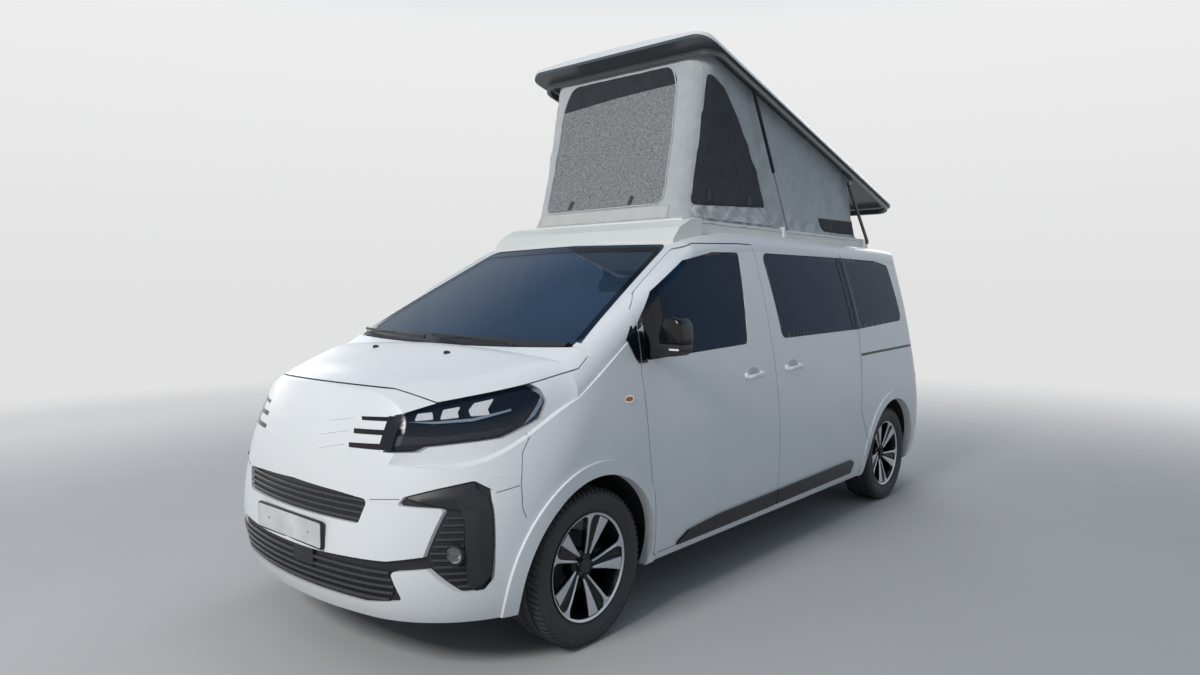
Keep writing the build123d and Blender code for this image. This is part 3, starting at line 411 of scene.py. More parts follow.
def rounded(points, radius, steps=5):
    out = []
    count, longest = len(points), 0.45
    for i in range(count):
        last, here, after = (Vector(points[j % count]) for j in (i - 1, i, i + 1))
        a, b = last - here, after - here
        cut = min(radius, longest * a.length, longest * b.length)
        start, end = here + a.normalized() * cut, here + b.normalized() * cut
        for k in range(steps + 1):
            t = k / steps
            out.append(start * (1 - t) ** 2 + here * 2 * t * (1 - t) + end * t * t)
    return out


def dense(points, step):
    out = []
    for a, b in zip(points, points[1:] + points[:1]):
        count = max(1, math.ceil((b - a).length / step))
        out += [a + (b - a) * k / count for k in range(count)]
    return out


def within(p, loop):
    odd = False
    for a, b in zip(loop, loop[1:] + loop[:1]):
        if (a.y > p.y) != (b.y > p.y) and p.x < a.x + (p.y - a.y) * (b.x - a.x) / (b.y - a.y):
            odd = not odd
    return odd


def turnOf(loop):
    return sum(a.cross(b) for a, b in zip(loop, loop[1:] + loop[:1]))


# rays that find a surface, cast against a direction from well outside the object
rayStart = 6.0
ahead, behind, aside, upright = (1, 0, 0), (-1, 0, 0), (0, 1, 0), (0, 0, 1)
frontCorner, rearCorner = (0.75, 0.66, 0), (-0.75, 0.66, 0)
doors = ("door_left", "door_right")
surfaces = {}


def surfaceOf(*names):
    if names not in surfaces:
        verts, faces = [], []
        for name in names:
            data = nodes[name].data if isinstance(name, str) else name.data
            base = len(verts)
            verts += [v.co.copy() for v in data.vertices]
            faces += [[base + i for i in p.vertices] for p in data.polygons]
        surfaces[names] = BVHTree.FromPolygons(verts, faces)
    return surfaces[names]


def planeOf(direction):
    d = Vector(direction).normalized()
    side = Vector((0, 0, 1)).cross(d) if abs(d.z) < 0.9 else Vector((0, 1, 0))
    side.normalize()
    return d, side, d.cross(side)


# a point of an outline is (y, z) seen from the front or behind, (x, z) seen from a side, or a place in space
def inSpace(p, direction):
    if len(p) == 2:
        p = (0, p[0], p[1]) if direction[0] else (p[0], 0, p[1])
    return Vector(p)


def flatten(points, direction):
    _, side, rise = planeOf(direction)
    places = [inSpace(p, direction) for p in points]
    return [Vector((p.dot(side), p.dot(rise))) for p in places]


def hitOn(surface, direction, p):
    d, side, rise = planeOf(direction)
    place, normal, _, _ = surface.ray_cast(side * p.x + rise * p.y + d * rayStart, -d)
    if place is None:
        return None
    return place, normal if normal.dot(d) > 0 else -normal


def spotOn(point, direction, surface):
    return hitOn(surface, direction, flatten([point], direction)[0])[0]


def lineOn(points, direction, surface, lift=0.0):
    hits = [hitOn(surface, direction, p) for p in flatten(points, direction)]
    return [hit[0] + hit[1] * lift for hit in hits if hit]


def outlineLoop(points, direction, step, radius):
    loop = flatten(points, direction)
    loop = dense(rounded(loop, radius) if radius else loop, step)
    return [p for i, p in enumerate(loop) if (p - loop[i - 1]).length > 10 * tiny]


# points inside an outline, in staggered rows
def fillPoints(loop, step):
    lowX, highX = min(p.x for p in loop), max(p.x for p in loop)
    lowY, highY = min(p.y for p in loop), max(p.y for p in loop)
    stagger, clear = 0.37, 0.55
    inner = []
    for i in range(1, int((highX - lowX) / step) + 1):
        for j in range(1, int((highY - lowY) / step) + 1):
            p = Vector((lowX + (i + stagger * (j % 2)) * step, lowY + j * step))
            if within(p, loop) and min((p - q).length for q in loop) > clear * step:
                inner.append(p)
    return inner


# a panel that follows the body: an outline seen along a direction, laid on a surface with its edges turned in
def layOn(points, direction, surface, lift=0.001, depth=0.004, step=0.015, radius=0.0):
    loop = outlineLoop(points, direction, step, radius)
    inner = fillPoints(loop, step)
    border = [list(range(len(loop)))]
    flat, _, tris, _, _, _ = geometry.delaunay_2d_cdt(loop + inner, [], border, 1, tiny)
    found = [hitOn(surface, direction, p) for p in flat]
    tris = [t for t in tris if all(found[i] for i in t)]
    verts, normals, index = [], [], {}
    for i in (i for t in tris for i in t):
        if i not in index:
            place, normal = found[i]
            index[i] = len(verts)
            verts.append(place + normal * (lift(place) if callable(lift) else lift))
            normals.append(normal)
    faces = []
    for t in tris:
        a, b, c = (flat[i] for i in t)
        turn = (b - a).cross(c - a)
        faces.append(tuple(index[i] for i in (t if turn > 0 else reversed(t))))
    edges = {(a, b): True for f in faces for a, b in zip(f, f[1:] + f[:1])}
    back = {}
    for a, b in [e for e in edges if (e[1], e[0]) not in edges]:
        for i in (a, b):
            if i not in back:
                back[i] = len(verts)
                verts.append(verts[i] - normals[i] * depth)
        faces.append((b, a, back[a], back[b]))
    return verts, faces


def laid(outlines, direction, surface, sizes):
    return joined(*(layOn(outline, direction, surface, *sizes) for outline in outlines))


# a band along the inside of an outline, laid on a surface
def bandOn(points, direction, surface, width, lift=0.001, step=0.02, radius=0.0):
    loop = outlineLoop(points, direction, step, radius)
    turn = 1 if turnOf(loop) > 0 else -1
    verts, faces, ok = [], [], []
    count = len(loop)
    for i, p in enumerate(loop):
        course = loop[(i + 1) % count] - loop[i - 1]
        inward = Vector((-course.y, course.x)).normalized() * turn
        for q in (p, p + inward * width):
            hit = hitOn(surface, direction, q)
            ok.append(hit is not None)
            verts.append(hit[0] + hit[1] * lift if hit else Vector((0, 0, 0)))
    for i in range(count):
        a, b = 2 * i, 2 * ((i + 1) % count)
        if ok[a] and ok[a + 1] and ok[b] and ok[b + 1]:
            faces.append((a, b, b + 1, a + 1) if turn > 0 else (a, a + 1, b + 1, b))
    return verts, faces


# a profile of radius and distance out, turned round the Y axis
def turned(profile, segments, closed=True):
    verts, faces = [], []
    count = len(profile)
    for k in range(segments):
        angle = 2 * math.pi * k / segments
        for r, out in profile:
            verts.append(Vector((r * math.sin(angle), out, r * math.cos(angle))))
    for k in range(segments):
        after = (k + 1) % segments
        for j in range(count if closed else count - 1):
            m = (j + 1) % count
            faces.append((k * count + j, k * count + m, after * count + m, after * count + j))
    return verts, faces


def turnedAt(place, degrees, axis, profile, segments, closed=False):
    put = Matrix.Translation(place) @ Matrix.Rotation(math.radians(degrees), 4, axis)
    return moved(turned(profile, segments, closed), put)


# a solid block: an outline drawn across one axis, from low to high along it
def slab(outline, axis, low, high, radius=0.0):
    loop = [Vector(p) for p in outline]
    loop = rounded(loop, radius) if radius else loop
    if turnOf(loop) < 0:
        loop.reverse()
    place = {"x": lambda p, t: Vector((t, p.x, p.y)), "y": lambda p, t: Vector((p.x, t, p.y))}[axis]
    count = len(loop)
    verts = [place(p, t) for t in (low, high) for p in loop]
    faces = [(i, (i + 1) % count, count + (i + 1) % count, count + i) for i in range(count)]
    faces += [tuple(reversed(range(count))), tuple(range(count, 2 * count))]
    return verts, faces


def plainMesh(obj):
    graph = bpy.context.evaluated_depsgraph_get()
    graph.update()
    old = obj.data
    data = bpy.data.meshes.new_from_object(obj.evaluated_get(graph))
    obj.modifiers.clear()
    obj.data = data
    bpy.data.meshes.remove(old)


def bevelled(obj, width, segments=3):
    mod = obj.modifiers.new("softEdges", "BEVEL")
    mod.width = width
    mod.segments = segments
    mod.limit_method = "ANGLE"
    plainMesh(obj)


# geometry node trees: copies round an axle, and a bar swept along drawn lines

def newTree(name, **sockets):
    tree = bpy.data.node_groups.new(name, "GeometryNodeTree")
    tree.is_modifier = True
    tree.interface.new_socket("Geometry", in_out="INPUT", socket_type="NodeSocketGeometry")
    for label, kind in sockets.items():
        tree.interface.new_socket(label, in_out="INPUT", socket_type="NodeSocket" + kind)
    tree.interface.new_socket("Geometry", in_out="OUTPUT", socket_type="NodeSocketGeometry")
    return tree, addNode(tree, "NodeGroupInput").outputs


def finishTree(tree, source, given):
    real = addNode(tree, "GeometryNodeRealizeInstances")
    coat = addNode(tree, "GeometryNodeSetMaterial")
    output = addNode(tree, "NodeGroupOutput")
    wire(tree, (source, real.inputs["Geometry"]), (real.outputs["Geometry"], coat.inputs["Geometry"]),
         (given["Material"], coat.inputs["Material"]), (coat.outputs["Geometry"], output.inputs["Geometry"]))


def makeRingTree():
    tree, given = newTree("copiesRoundAxle", Count="Int", Centre="Vector", Phase="Float", Material="Material")
    points = addNode(tree, "GeometryNodePoints")
    index = addNode(tree, "GeometryNodeInputIndex").outputs["Index"]
    step = mathOn(tree, "DIVIDE", 2 * math.pi, given["Count"])
    angle = mathOn(tree, "MULTIPLY_ADD", index, step, given["Phase"])
    turn = addNode(tree, "ShaderNodeCombineXYZ")
    euler = addNode(tree, "FunctionNodeEulerToRotation")
    copies = addNode(tree, "GeometryNodeInstanceOnPoints")
    wire(tree, (given["Count"], points.inputs["Count"]), (given["Centre"], points.inputs["Position"]),
         (angle, turn.inputs["Y"]), (turn.outputs["Vector"], euler.inputs["Euler"]),
         (points.outputs["Points"], copies.inputs["Points"]), (given["Geometry"], copies.inputs["Instance"]),
         (euler.outputs["Rotation"], copies.inputs["Rotation"]))
    finishTree(tree, copies.outputs["Instances"], given)
    return tree


def makeBarTree():
    tree, given = newTree("barAlongLines", Width="Float", Height="Float", Material="Material")
    curve = addNode(tree, "GeometryNodeMeshToCurve")
    normal = addNode(tree, "GeometryNodeSetCurveNormal", mode="Z_UP")
    profile = addNode(tree, "GeometryNodeCurvePrimitiveQuadrilateral")
    cornerRadius = 0.0016
    corner = addNode(tree, "GeometryNodeFilletCurve", {"Radius": cornerRadius})
    sweep = addNode(tree, "GeometryNodeCurveToMesh", {"Fill Caps": True})
    wire(tree, (given["Geometry"], curve.inputs["Mesh"]), (curve.outputs["Curve"], normal.inputs["Curve"]),
         (given["Width"], profile.inputs["Width"]), (given["Height"], profile.inputs["Height"]),
         (profile.outputs["Curve"], corner.inputs["Curve"]), (normal.outputs["Curve"], sweep.inputs["Curve"]),
         (corner.outputs["Curve"], sweep.inputs["Profile Curve"]))
    finishTree(tree, sweep.outputs["Mesh"], given)
    return tree


def grow(obj, tree, **values):
    mod = obj.modifiers.new(tree.name, "NODES")
    sockets = {item.name: item.identifier for item in tree.interface.items_tree if item.in_out == "INPUT"}
    mod.node_group = tree
    for label, value in values.items():
        mod[sockets[label]] = value
    plainMesh(obj)
    softShade(obj.data, creaseAngle)


ringTree, barTree = makeRingTree(), makeBarTree()


def addRing(name, part, count, centre, phase, key, body):
    obj = addPiece(name, part, key, body, clean=True)
    grow(obj, ringTree, Count=count, Centre=centre, Phase=phase, Material=finish[key])


def addBars(name, lines, section, key, body="body"):
    verts, edges = [], []
    for line in lines:
        base = len(verts)
        verts += [tuple(p) for p in line]
        edges += [(base + i, base + i + 1) for i in range(len(line) - 1)]
    data = bpy.data.meshes.new(name)
    data.from_pydata(verts, edges, [])
    obj = addObject(name, data)
    grow(obj, barTree, Width=section[0], Height=section[1], Material=finish[key])
    cleanNormals(obj)
    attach(obj, body)


# cloth walls of the sleeping space, from a ring on the roof up to a ring on the raised shell's lining
tentCut = {"low": 1.908, "front": 0.486, "rear": -1.880, "frontTop": 0.268, "rearTop": -1.742, "half": 0.596,
           "corner": 0.130, "lining": 0.0855, "rows": 64, "rowEase": 1.15, "sideSteps": 84, "endSteps": 40,
           "cornerSteps": 9, "flare": 0.026, "flareFade": 0.05, "thickness": 0.0025, "crumple": 0.0062,
           "pull": 0.011, "fold": 0.009, "foldLevel": 0.05, "foldSpread": 0.09, "sag": 0.012}


def roundedRing(front, rear):
    half, radius, steps = tentCut["half"], tentCut["corner"], tentCut["cornerSteps"]
    ring = []
    corners = [(front - radius, half - radius), (rear + radius, half - radius),
               (rear + radius, radius - half), (front - radius, radius - half)]

    for i, (x, y) in enumerate(corners):
        for k in range(steps + 1):
            angle = math.radians(90.0 * i + 90.0 * k / steps)
            out = Vector((math.cos(angle), math.sin(angle)))
            ring.append((Vector((x + radius * math.cos(angle), y + radius * math.sin(angle))), out))
        ring.pop()
        count = tentCut["sideSteps"] if i in (0, 2) else tentCut["endSteps"]
        a, b = (Vector(p) + out * radius for p in (corners[i], corners[(i + 1) % 4]))
        ring += [(a + (b - a) * k / count, out) for k in range(count)]
    return ring


def tentTop(point):
    tilt = math.radians(roofPlane["tilt"])
    px, _, pz = roofPlane["pivot"]
    h = tentCut["lining"]
    return Vector((px + point.x * math.cos(tilt) - h * math.sin(tilt), point.y,
                   pz + point.x * math.sin(tilt) + h * math.cos(tilt)))


# soft creases: fine crumple all over, slanting pulls near the foot, fuller folds low on the sides
def tentWrinkle(p, t, out):
    crumple = tentCut["crumple"] * noise.fractal(p * 9.0, 0.7, 2.1, 5)
    slant = noise.noise(Vector((p.x * 5.0 + p.z * 7.5, p.y * 5.0, p.z * 3.0 - p.x * 2.0)))
    low = math.exp(-((t - tentCut["foldLevel"]) / tentCut["foldSpread"]) ** 2)
    pull = tentCut["pull"] * low * slant
    fold = tentCut["fold"] * low * math.sin(34.0 * p.x + 26.0 * p.z + 3.0 * slant) * abs(out.y)
    hem = math.sin(math.pi * min(max(t, 0.0), 1.0)) ** 0.35
    return (crumple + pull + fold) * hem - tentCut["sag"] * math.sin(math.pi * t) * (1 - abs(out.y) * 0.3)


def addTent():
    tilt = math.radians(roofPlane["tilt"])
    px = roofPlane["pivot"][0]
    ends = [tentCut[key] - px + tentCut["lining"] * math.sin(tilt) for key in ("frontTop", "rearTop")]
    foot = roundedRing(tentCut["front"], tentCut["rear"])
    head = roundedRing(*(end / math.cos(tilt) for end in ends))
    count, rows = len(foot), tentCut["rows"]
    verts, faces = [], []
    for j in range(rows + 1):
        t = (j / rows) ** tentCut["rowEase"]
        for (b, out), (h, _) in zip(foot, head):
            p = Vector((b.x, b.y, tentCut["low"])).lerp(tentTop(h), t)
            flare = tentCut["flare"] * math.exp(-t / tentCut["flareFade"])
            verts.append(p + Vector((out.x, out.y, 0)) * (tentWrinkle(p, t, out) + flare))
    for j in range(rows):
        for i in range(count):
            k = (i + 1) % count
            faces.append((j * count + i, j * count + k, (j + 1) * count + k, (j + 1) * count + i))
    tent = addPiece("tentWalls", (verts, faces), "tentCloth", sharp=allSmooth)
    area = sum(p.area for p in tent.data.polygons)
    width = sum((foot[i][0] - foot[i - 1][0]).length for i in range(count))
    length = max((verts[rows * count + i] - verts[i]).length for i in range(count))
    solid = tent.modifiers.new("clothThickness", "SOLIDIFY")
    solid.thickness = tentCut["thickness"]
    solid.offset = -1.0
    return tent, area, width, length


tent, tentArea, tentWidth, tentLength = addTent()
tentSkin = surfaceOf(tent)


# how far the side skirts stand off the walls, in slanting folds
skirtWave = {"rise": 0.007, "fold": 0.006, "fine": 0.002}


def skirtFold(p):
    wave = math.sin(46.0 * p.x - 92.0 * p.z + 2.0 * noise.noise(p * 9.0))
    return skirtWave["rise"] + skirtWave["fold"] * wave + skirtWave["fine"] * noise.noise(p * 30.0)


# netting and flaps sewn on the cloth, and a dark band over the top of the front net that is partly a dark
# strip and partly painted shadow of the raised roof: outline, then lift, depth, step and corner radius
tentPanels = {
    "frontNet": ([(-0.466, 2.018), (0.438, 2.024), (0.425, 2.70), (0.375, 2.826), (-0.390, 2.826),
                  (-0.452, 2.70)], (0.0025, 0.002, 0.016, 0.05)),
    # painted shadow of the raised roof, with a dark strip, over the top of the front net
    "frontShadowBand": ([(-0.455, 2.665), (0.0, 2.700), (0.427, 2.715), (0.420, 2.75), (0.373, 2.827),
                    (-0.390, 2.827), (-0.452, 2.70)], (0.004, 0.002, 0.016, 0.03)),
    "sideNet": ([(0.389, 2.007), (0.302, 2.376), (0.224, 2.765), (0.160, 2.745), (0.047, 2.692),
                 (-0.127, 2.517), (-0.314, 2.265), (-0.414, 2.052)], (0.003, 0.002, 0.016, 0.03)),
    "rearVent": ([(-1.164, 2.041), (-1.236, 1.950), (-1.78, 1.952), (-1.75, 2.050)],
                 (0.003, 0.002, 0.016, 0.02)),
    "skirt": (evenOutline((0.50, 1.932), (0.49, 2.012)), (0.002, 0.001, 0.016, 0.01)),
    "sideSkirt": ([(0.395, 1.935), (0.388, 2.000), (-0.410, 2.046), (-0.480, 1.940)],
                  (skirtFold, 0.004, 0.010, 0.02)),
}
# straps, as outlines round their own places, and the welt's width, lift and step
tentTrim = {"frontToggle": [(-0.010, 2.030), (0.014, 2.030), (0.024, 2.078), (0.004, 2.082)],
            "sideToggle": evenOutline((0.012, 2.050), (0.010, 2.104)),
            "frontPlaces": [-0.27, 0.20], "sidePlaces": [0.22, -0.22], "toggle": (0.010, 0.009, 0.008, 0.006),
            "toggleCrease": 60.0, "welt": (-0.008, 0.0045, 0.012)}


def addTentPanels():
    sides = (aside, (0, -1, 0))

    def onFront(outline, sizes):
        return layOn(outline, ahead, tentSkin, *sizes)

    def onSides(outline, sizes):
        return joined(*(layOn(outline, side, tentSkin, *sizes) for side in sides))

    def strap(key, place):
        return [(place + u, v) for u, v in tentTrim[key]], tentTrim["toggle"]

    def welt(key, direction):
        outline, sizes = tentPanels[key]
        return bandOn(outline, direction, tentSkin, *tentTrim["welt"], sizes[-1])

    nets = joined(onSides(*tentPanels["sideNet"]), onSides(*tentPanels["rearVent"]))
    straps = [onFront(*strap("frontToggle", y)) for y in tentTrim["frontPlaces"]]
    straps += [onSides(*strap("sideToggle", x)) for x in tentTrim["sidePlaces"]]
    welts = [welt("frontNet", ahead)] + [welt("sideNet", side) for side in sides]
    rows = [("tentFrontNet", onFront(*tentPanels["frontNet"]), "greyNet", allSmooth),
            ("tentFrontShadowBand", onFront(*tentPanels["frontShadowBand"]), "darkNet", allSmooth),
            ("tentSideNets", nets, "darkNet", allSmooth),
            ("tentSkirt", onFront(*tentPanels["skirt"]), "tentSkirt", allSmooth),
            ("tentSideSkirts", onSides(*tentPanels["sideSkirt"]), "tentSkirt", allSmooth),
            ("tentToggles", joined(*straps), "seatCloth", tentTrim["toggleCrease"]),
            ("tentWelts", joined(*welts), "tentCloth", allSmooth)]
    return [addPiece(name, part, key, "body", sharp) for name, part, key, sharp in rows]


tentExtras = addTentPanels()
plainMesh(tent)
softShade(tent.data, allSmooth)
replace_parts(tent, "roof_tent")
for cloth in [tent] + tentExtras:
    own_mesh(cloth)
print("stage: cloth walls, area", round(tentArea, 2))

# wheels: turned tyre and rim, with spokes, bolts and tread blocks copied round the axle
wheelCut = {
    "places": {"fl": (1.585, 0.805, 0.34), "fr": (1.585, -0.805, 0.34), "rl": (-1.69, 0.805, 0.34),
               "rr": (-1.69, -0.805, 0.34)},
    "phases": {"fl": 3.0, "fr": 40.0, "rl": 24.0, "rr": 61.0},
    "radius": 0.3395, "spokePairs": 5, "bolts": 5, "boltCircle": 0.034, "boltOut": 0.048, "lugs": 74,
    "lugWidth": 0.0198, "wideLead": 25.0, "faceThick": 0.0072, "bridgeThick": 0.026, "grooveThick": 0.003,
    "crease": 28.0, "edgeCrease": 40.0, "tyreSegments": 120, "rimSegments": 96, "hubSegments": 48,
    "capSegments": 40,
    # the spokes' faces rise from the hub out to the rim
    "faceLow": 0.058, "faceRise": 0.029, "faceStart": 0.05, "faceReach": 0.165, "faceBow": 0.8,
    "spokeBevel": 0.0022, "lugLean": 0.004, "lugTaper": 0.035, "lugDepth": 0.007, "lugInset": 0.004,
    "lugFoot": 1.1,
    # profiles: radius and distance out from the wheel's middle; the tread's rows go down from the radius
    "wall": [(0.2285, 0.0850), (0.2405, 0.0862), (0.246, 0.0915), (0.252, 0.0932), (0.258, 0.0970),
             (0.2615, 0.0970), (0.276, 0.1042), (0.280, 0.1040), (0.296, 0.1066), (0.299, 0.1060),
             (0.310, 0.1046), (0.3125, 0.1036), (0.320, 0.0985), (0.327, 0.0915), (0.3320, 0.0830),
             (0.3340, 0.0740), (0.3345, 0.0600)],
    "tread": [(0.0004, 0.0575), (0.0075, 0.0560), (0.0075, 0.0475), (0.0002, 0.0460), (0.0, 0.0175),
              (0.0078, 0.0160), (0.0078, 0.0075), (0.0, 0.0060)],
    "inside": [(0.226, 0.080), (0.243, 0.079), (0.262, 0.090), (0.296, 0.098), (0.322, 0.085),
               (0.327, 0.060)],
    "lug": [(0.3392, 0.0590), (0.3389, 0.0745), (0.3366, 0.0858), (0.3312, 0.0952), (0.3232, 0.1022)],
    "barrel": [(0.2355, 0.0905), (0.2330, 0.0918), (0.2285, 0.0900), (0.2245, 0.0850), (0.2160, 0.0560),
               (0.2120, 0.0300), (0.2080, -0.0880), (0.2355, -0.0905), (0.2355, -0.0868), (0.2272, -0.0860),
               (0.2272, 0.0860), (0.2355, 0.0868)],
    "hub": [(0.0, 0.0500), (0.030, 0.0500), (0.052, 0.0480), (0.066, 0.0440), (0.070, 0.0300),
            (0.070, -0.006), (0.036, -0.006), (0.0, -0.006)],
    "cap": [(0.0, 0.0575), (0.014, 0.0572), (0.0225, 0.0560), (0.0262, 0.0535), (0.0270, 0.0490),
            (0.0, 0.0480)],
    "edge": [(0.2330, 0.0922), (0.2285, 0.0908), (0.2232, 0.0862), (0.2236, 0.0848), (0.2290, 0.0890),
             (0.2330, 0.0905)],
    "bolt": [(0.0085, 0.0), (0.0085, 0.0090), (0.0072, 0.0102), (0.0045, 0.0102), (0.0040, 0.0060),
             (0.0, 0.0060)],
    # spokes: radius, degrees from the spoke's own line and half width
    # the bridge and its groove, behind the faces, have a share of the lead instead of degrees
    "narrow": [(0.052, 9.0, 0.0045), (0.085, 4.5, 0.0052), (0.120, 1.8, 0.0058), (0.155, 0.4, 0.0064),
               (0.185, 0.0, 0.0074), (0.203, 0.0, 0.0105), (0.214, 0.0, 0.0170), (0.221, 0.0, 0.0275),
               (0.2255, 0.0, 0.0400)],
    "wide": [(0.058, 12.0, 0.0048), (0.080, 6.5, 0.0078), (0.110, 3.0, 0.0120), (0.145, 1.2, 0.0172),
             (0.180, 0.3, 0.0228), (0.205, 0.0, 0.0268), (0.2175, 0.0, 0.0288)],
    "bridge": [(0.046, 0.72, 0.012), (0.080, 0.62, 0.020), (0.120, 0.56, 0.031), (0.160, 0.54, 0.044),
               (0.195, 0.53, 0.056), (0.2225, 0.52, 0.062)],
    "groove": [(0.09, 0.48, 0.004), (0.14, 0.48, 0.0065), (0.20, 0.48, 0.009)],
    "bridgeDrop": 0.0075, "grooveDrop": 0.0058,
}


def tyreProfile():
    half = wheelCut["wall"] + [(wheelCut["radius"] - drop, out) for drop, out in wheelCut["tread"]]
    inner = wheelCut["inside"]
    outside = [(a, -b) for a, b in half] + [(a, b) for a, b in reversed(half)]
    return outside + inner + [(a, -b) for a, b in reversed(inner)]


def polar(r, degrees, out):
    angle = math.radians(degrees)
    return Vector((-r * math.sin(angle), out, r * math.cos(angle)))


# rows: radius, centre angle in degrees, half width, face height
def spokeStrip(rows, thick, crown=0.0015):
    verts, faces = [], []
    for r, angle, half, out in rows:
        middle, side = polar(r, angle, out), polar(1.0, angle - 90.0, 0.0)
        bevel = min(wheelCut["spokeBevel"], half * 0.4)
        section = ((-half, thick), (-half, bevel), (-half + bevel, 0.0), (0.0, -crown), (half - bevel, 0.0),
                   (half, bevel), (half, thick))
        verts += [middle + side * across - Vector((0, drop, 0)) for across, drop in section]
    wide = len(section)
    for k in range(len(rows) - 1):
        for j in range(wide):
            a, b = k * wide + j, k * wide + (j + 1) % wide
            faces.append((a, b, b + wide, a + wide))
    faces.append(tuple(range(wide)))
    faces.append(tuple(reversed(range((len(rows) - 1) * wide, len(rows) * wide))))
    return verts, faces


def faceHeight(r):
    share = min(max((r - wheelCut["faceStart"]) / wheelCut["faceReach"], 0.0), 1.0)
    return wheelCut["faceLow"] + wheelCut["faceRise"] * share ** wheelCut["faceBow"]


def wheelParts():
    lead, thick = wheelCut["wideLead"], wheelCut["faceThick"]

    def behindFace(key):
        return [(r, lead * a, w, faceHeight(r) - wheelCut[key + "Drop"]) for r, a, w in wheelCut[key]]

    narrow = [(r, a, w, faceHeight(r)) for r, a, w in wheelCut["narrow"]]
    wide = [(r, lead + a, w, faceHeight(r)) for r, a, w in wheelCut["wide"]]
    bridge = spokeStrip(behindFace("bridge"), wheelCut["bridgeThick"], 0.0)
    groove = spokeStrip(behindFace("groove"), wheelCut["grooveThick"])
    return joined(spokeStrip(narrow, thick), spokeStrip(wide, thick)), joined(bridge, groove)


def boltPart():
    verts, faces = turned(wheelCut["bolt"], 6, closed=False)
    place = Vector((0, wheelCut["boltOut"], wheelCut["boltCircle"]))
    return [v + place for v in verts], faces


# shoulder block of the tread, leaning and narrowing down the sidewall
def lugPart(out):
    rows, foot, inset, depth = (wheelCut[key] for key in ("lug", "lugFoot", "lugInset", "lugDepth"))
    verts, faces = [], []
    for i, (r, across) in enumerate(rows):
        half, lean = wheelCut["lugWidth"] * (0.5 - wheelCut["lugTaper"] * i), wheelCut["lugLean"] * i
        for side in (-half, half):
            verts.append(Vector((side * foot + lean, out * (across - inset), r - depth)))
            verts.append(Vector((side + lean, out * across, r)))
    for i in range(len(rows) - 1):
        k = i * 4
        faces += [(k + 1, k + 3, k + 7, k + 5), (k, k + 1, k + 5, k + 4), (k + 3, k + 2, k + 6, k + 7)]
    last = len(verts) - 4
    faces += [(0, 2, 3, 1), (last, last + 1, last + 3, last + 2)]
    return verts, faces


def addWheel(corner):
    place, phase = Vector(wheelCut["places"][corner]), math.radians(wheelCut["phases"][corner])
    body, tyreName, rimName = "wheel_" + corner, "tyre_" + corner, "rim_" + corner
    left = place.y > 0
    spin = Matrix.Identity(4) if left else Matrix.Rotation(math.pi, 4, "Z")
    put = Matrix.Translation(place) @ spin
    turn = -phase if left else phase
    pairs, crease = wheelCut["spokePairs"], wheelCut["crease"]

    def addTurned(name, part, key, sharp):
        return addPiece(name, moved(part, put), key, body, sharp, clean=True)

    tyre = turned(tyreProfile(), wheelCut["tyreSegments"])
    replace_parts(addTurned(tyreName + "_tread", tyre, "tyreRubber", crease), tyreName)
    lugs = joined(lugPart(1), lugPart(-1))
    addRing(tyreName + "_lugs", moved(lugs, spin), wheelCut["lugs"], place, 0.0, "tyreRubber", body)
    dark = joined(turned(wheelCut["barrel"], wheelCut["rimSegments"]),
                  turned(wheelCut["hub"], wheelCut["hubSegments"], closed=False),
                  turned(wheelCut["cap"], wheelCut["capSegments"], closed=False))
    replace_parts(addTurned(rimName + "_barrel", dark, "rimBlack", crease), rimName)
    faceParts, backParts = wheelParts()
    addRing(rimName + "_spokes", moved(backParts, spin), pairs, place, turn, "rimBlack", body)
    addRing(rimName + "_faces", moved(faceParts, spin), pairs, place, turn, "machinedAlloy", body)
    addRing(rimName + "_bolts", moved(boltPart(), spin), wheelCut["bolts"], place, turn, "bareSteel", body)
    edge = turned(wheelCut["edge"], wheelCut["rimSegments"])
    addTurned(rimName + "_edge", edge, "machinedAlloy", wheelCut["edgeCrease"])


for corner in wheelCut["places"]:
    addWheel(corner)
print("stage: wheels")

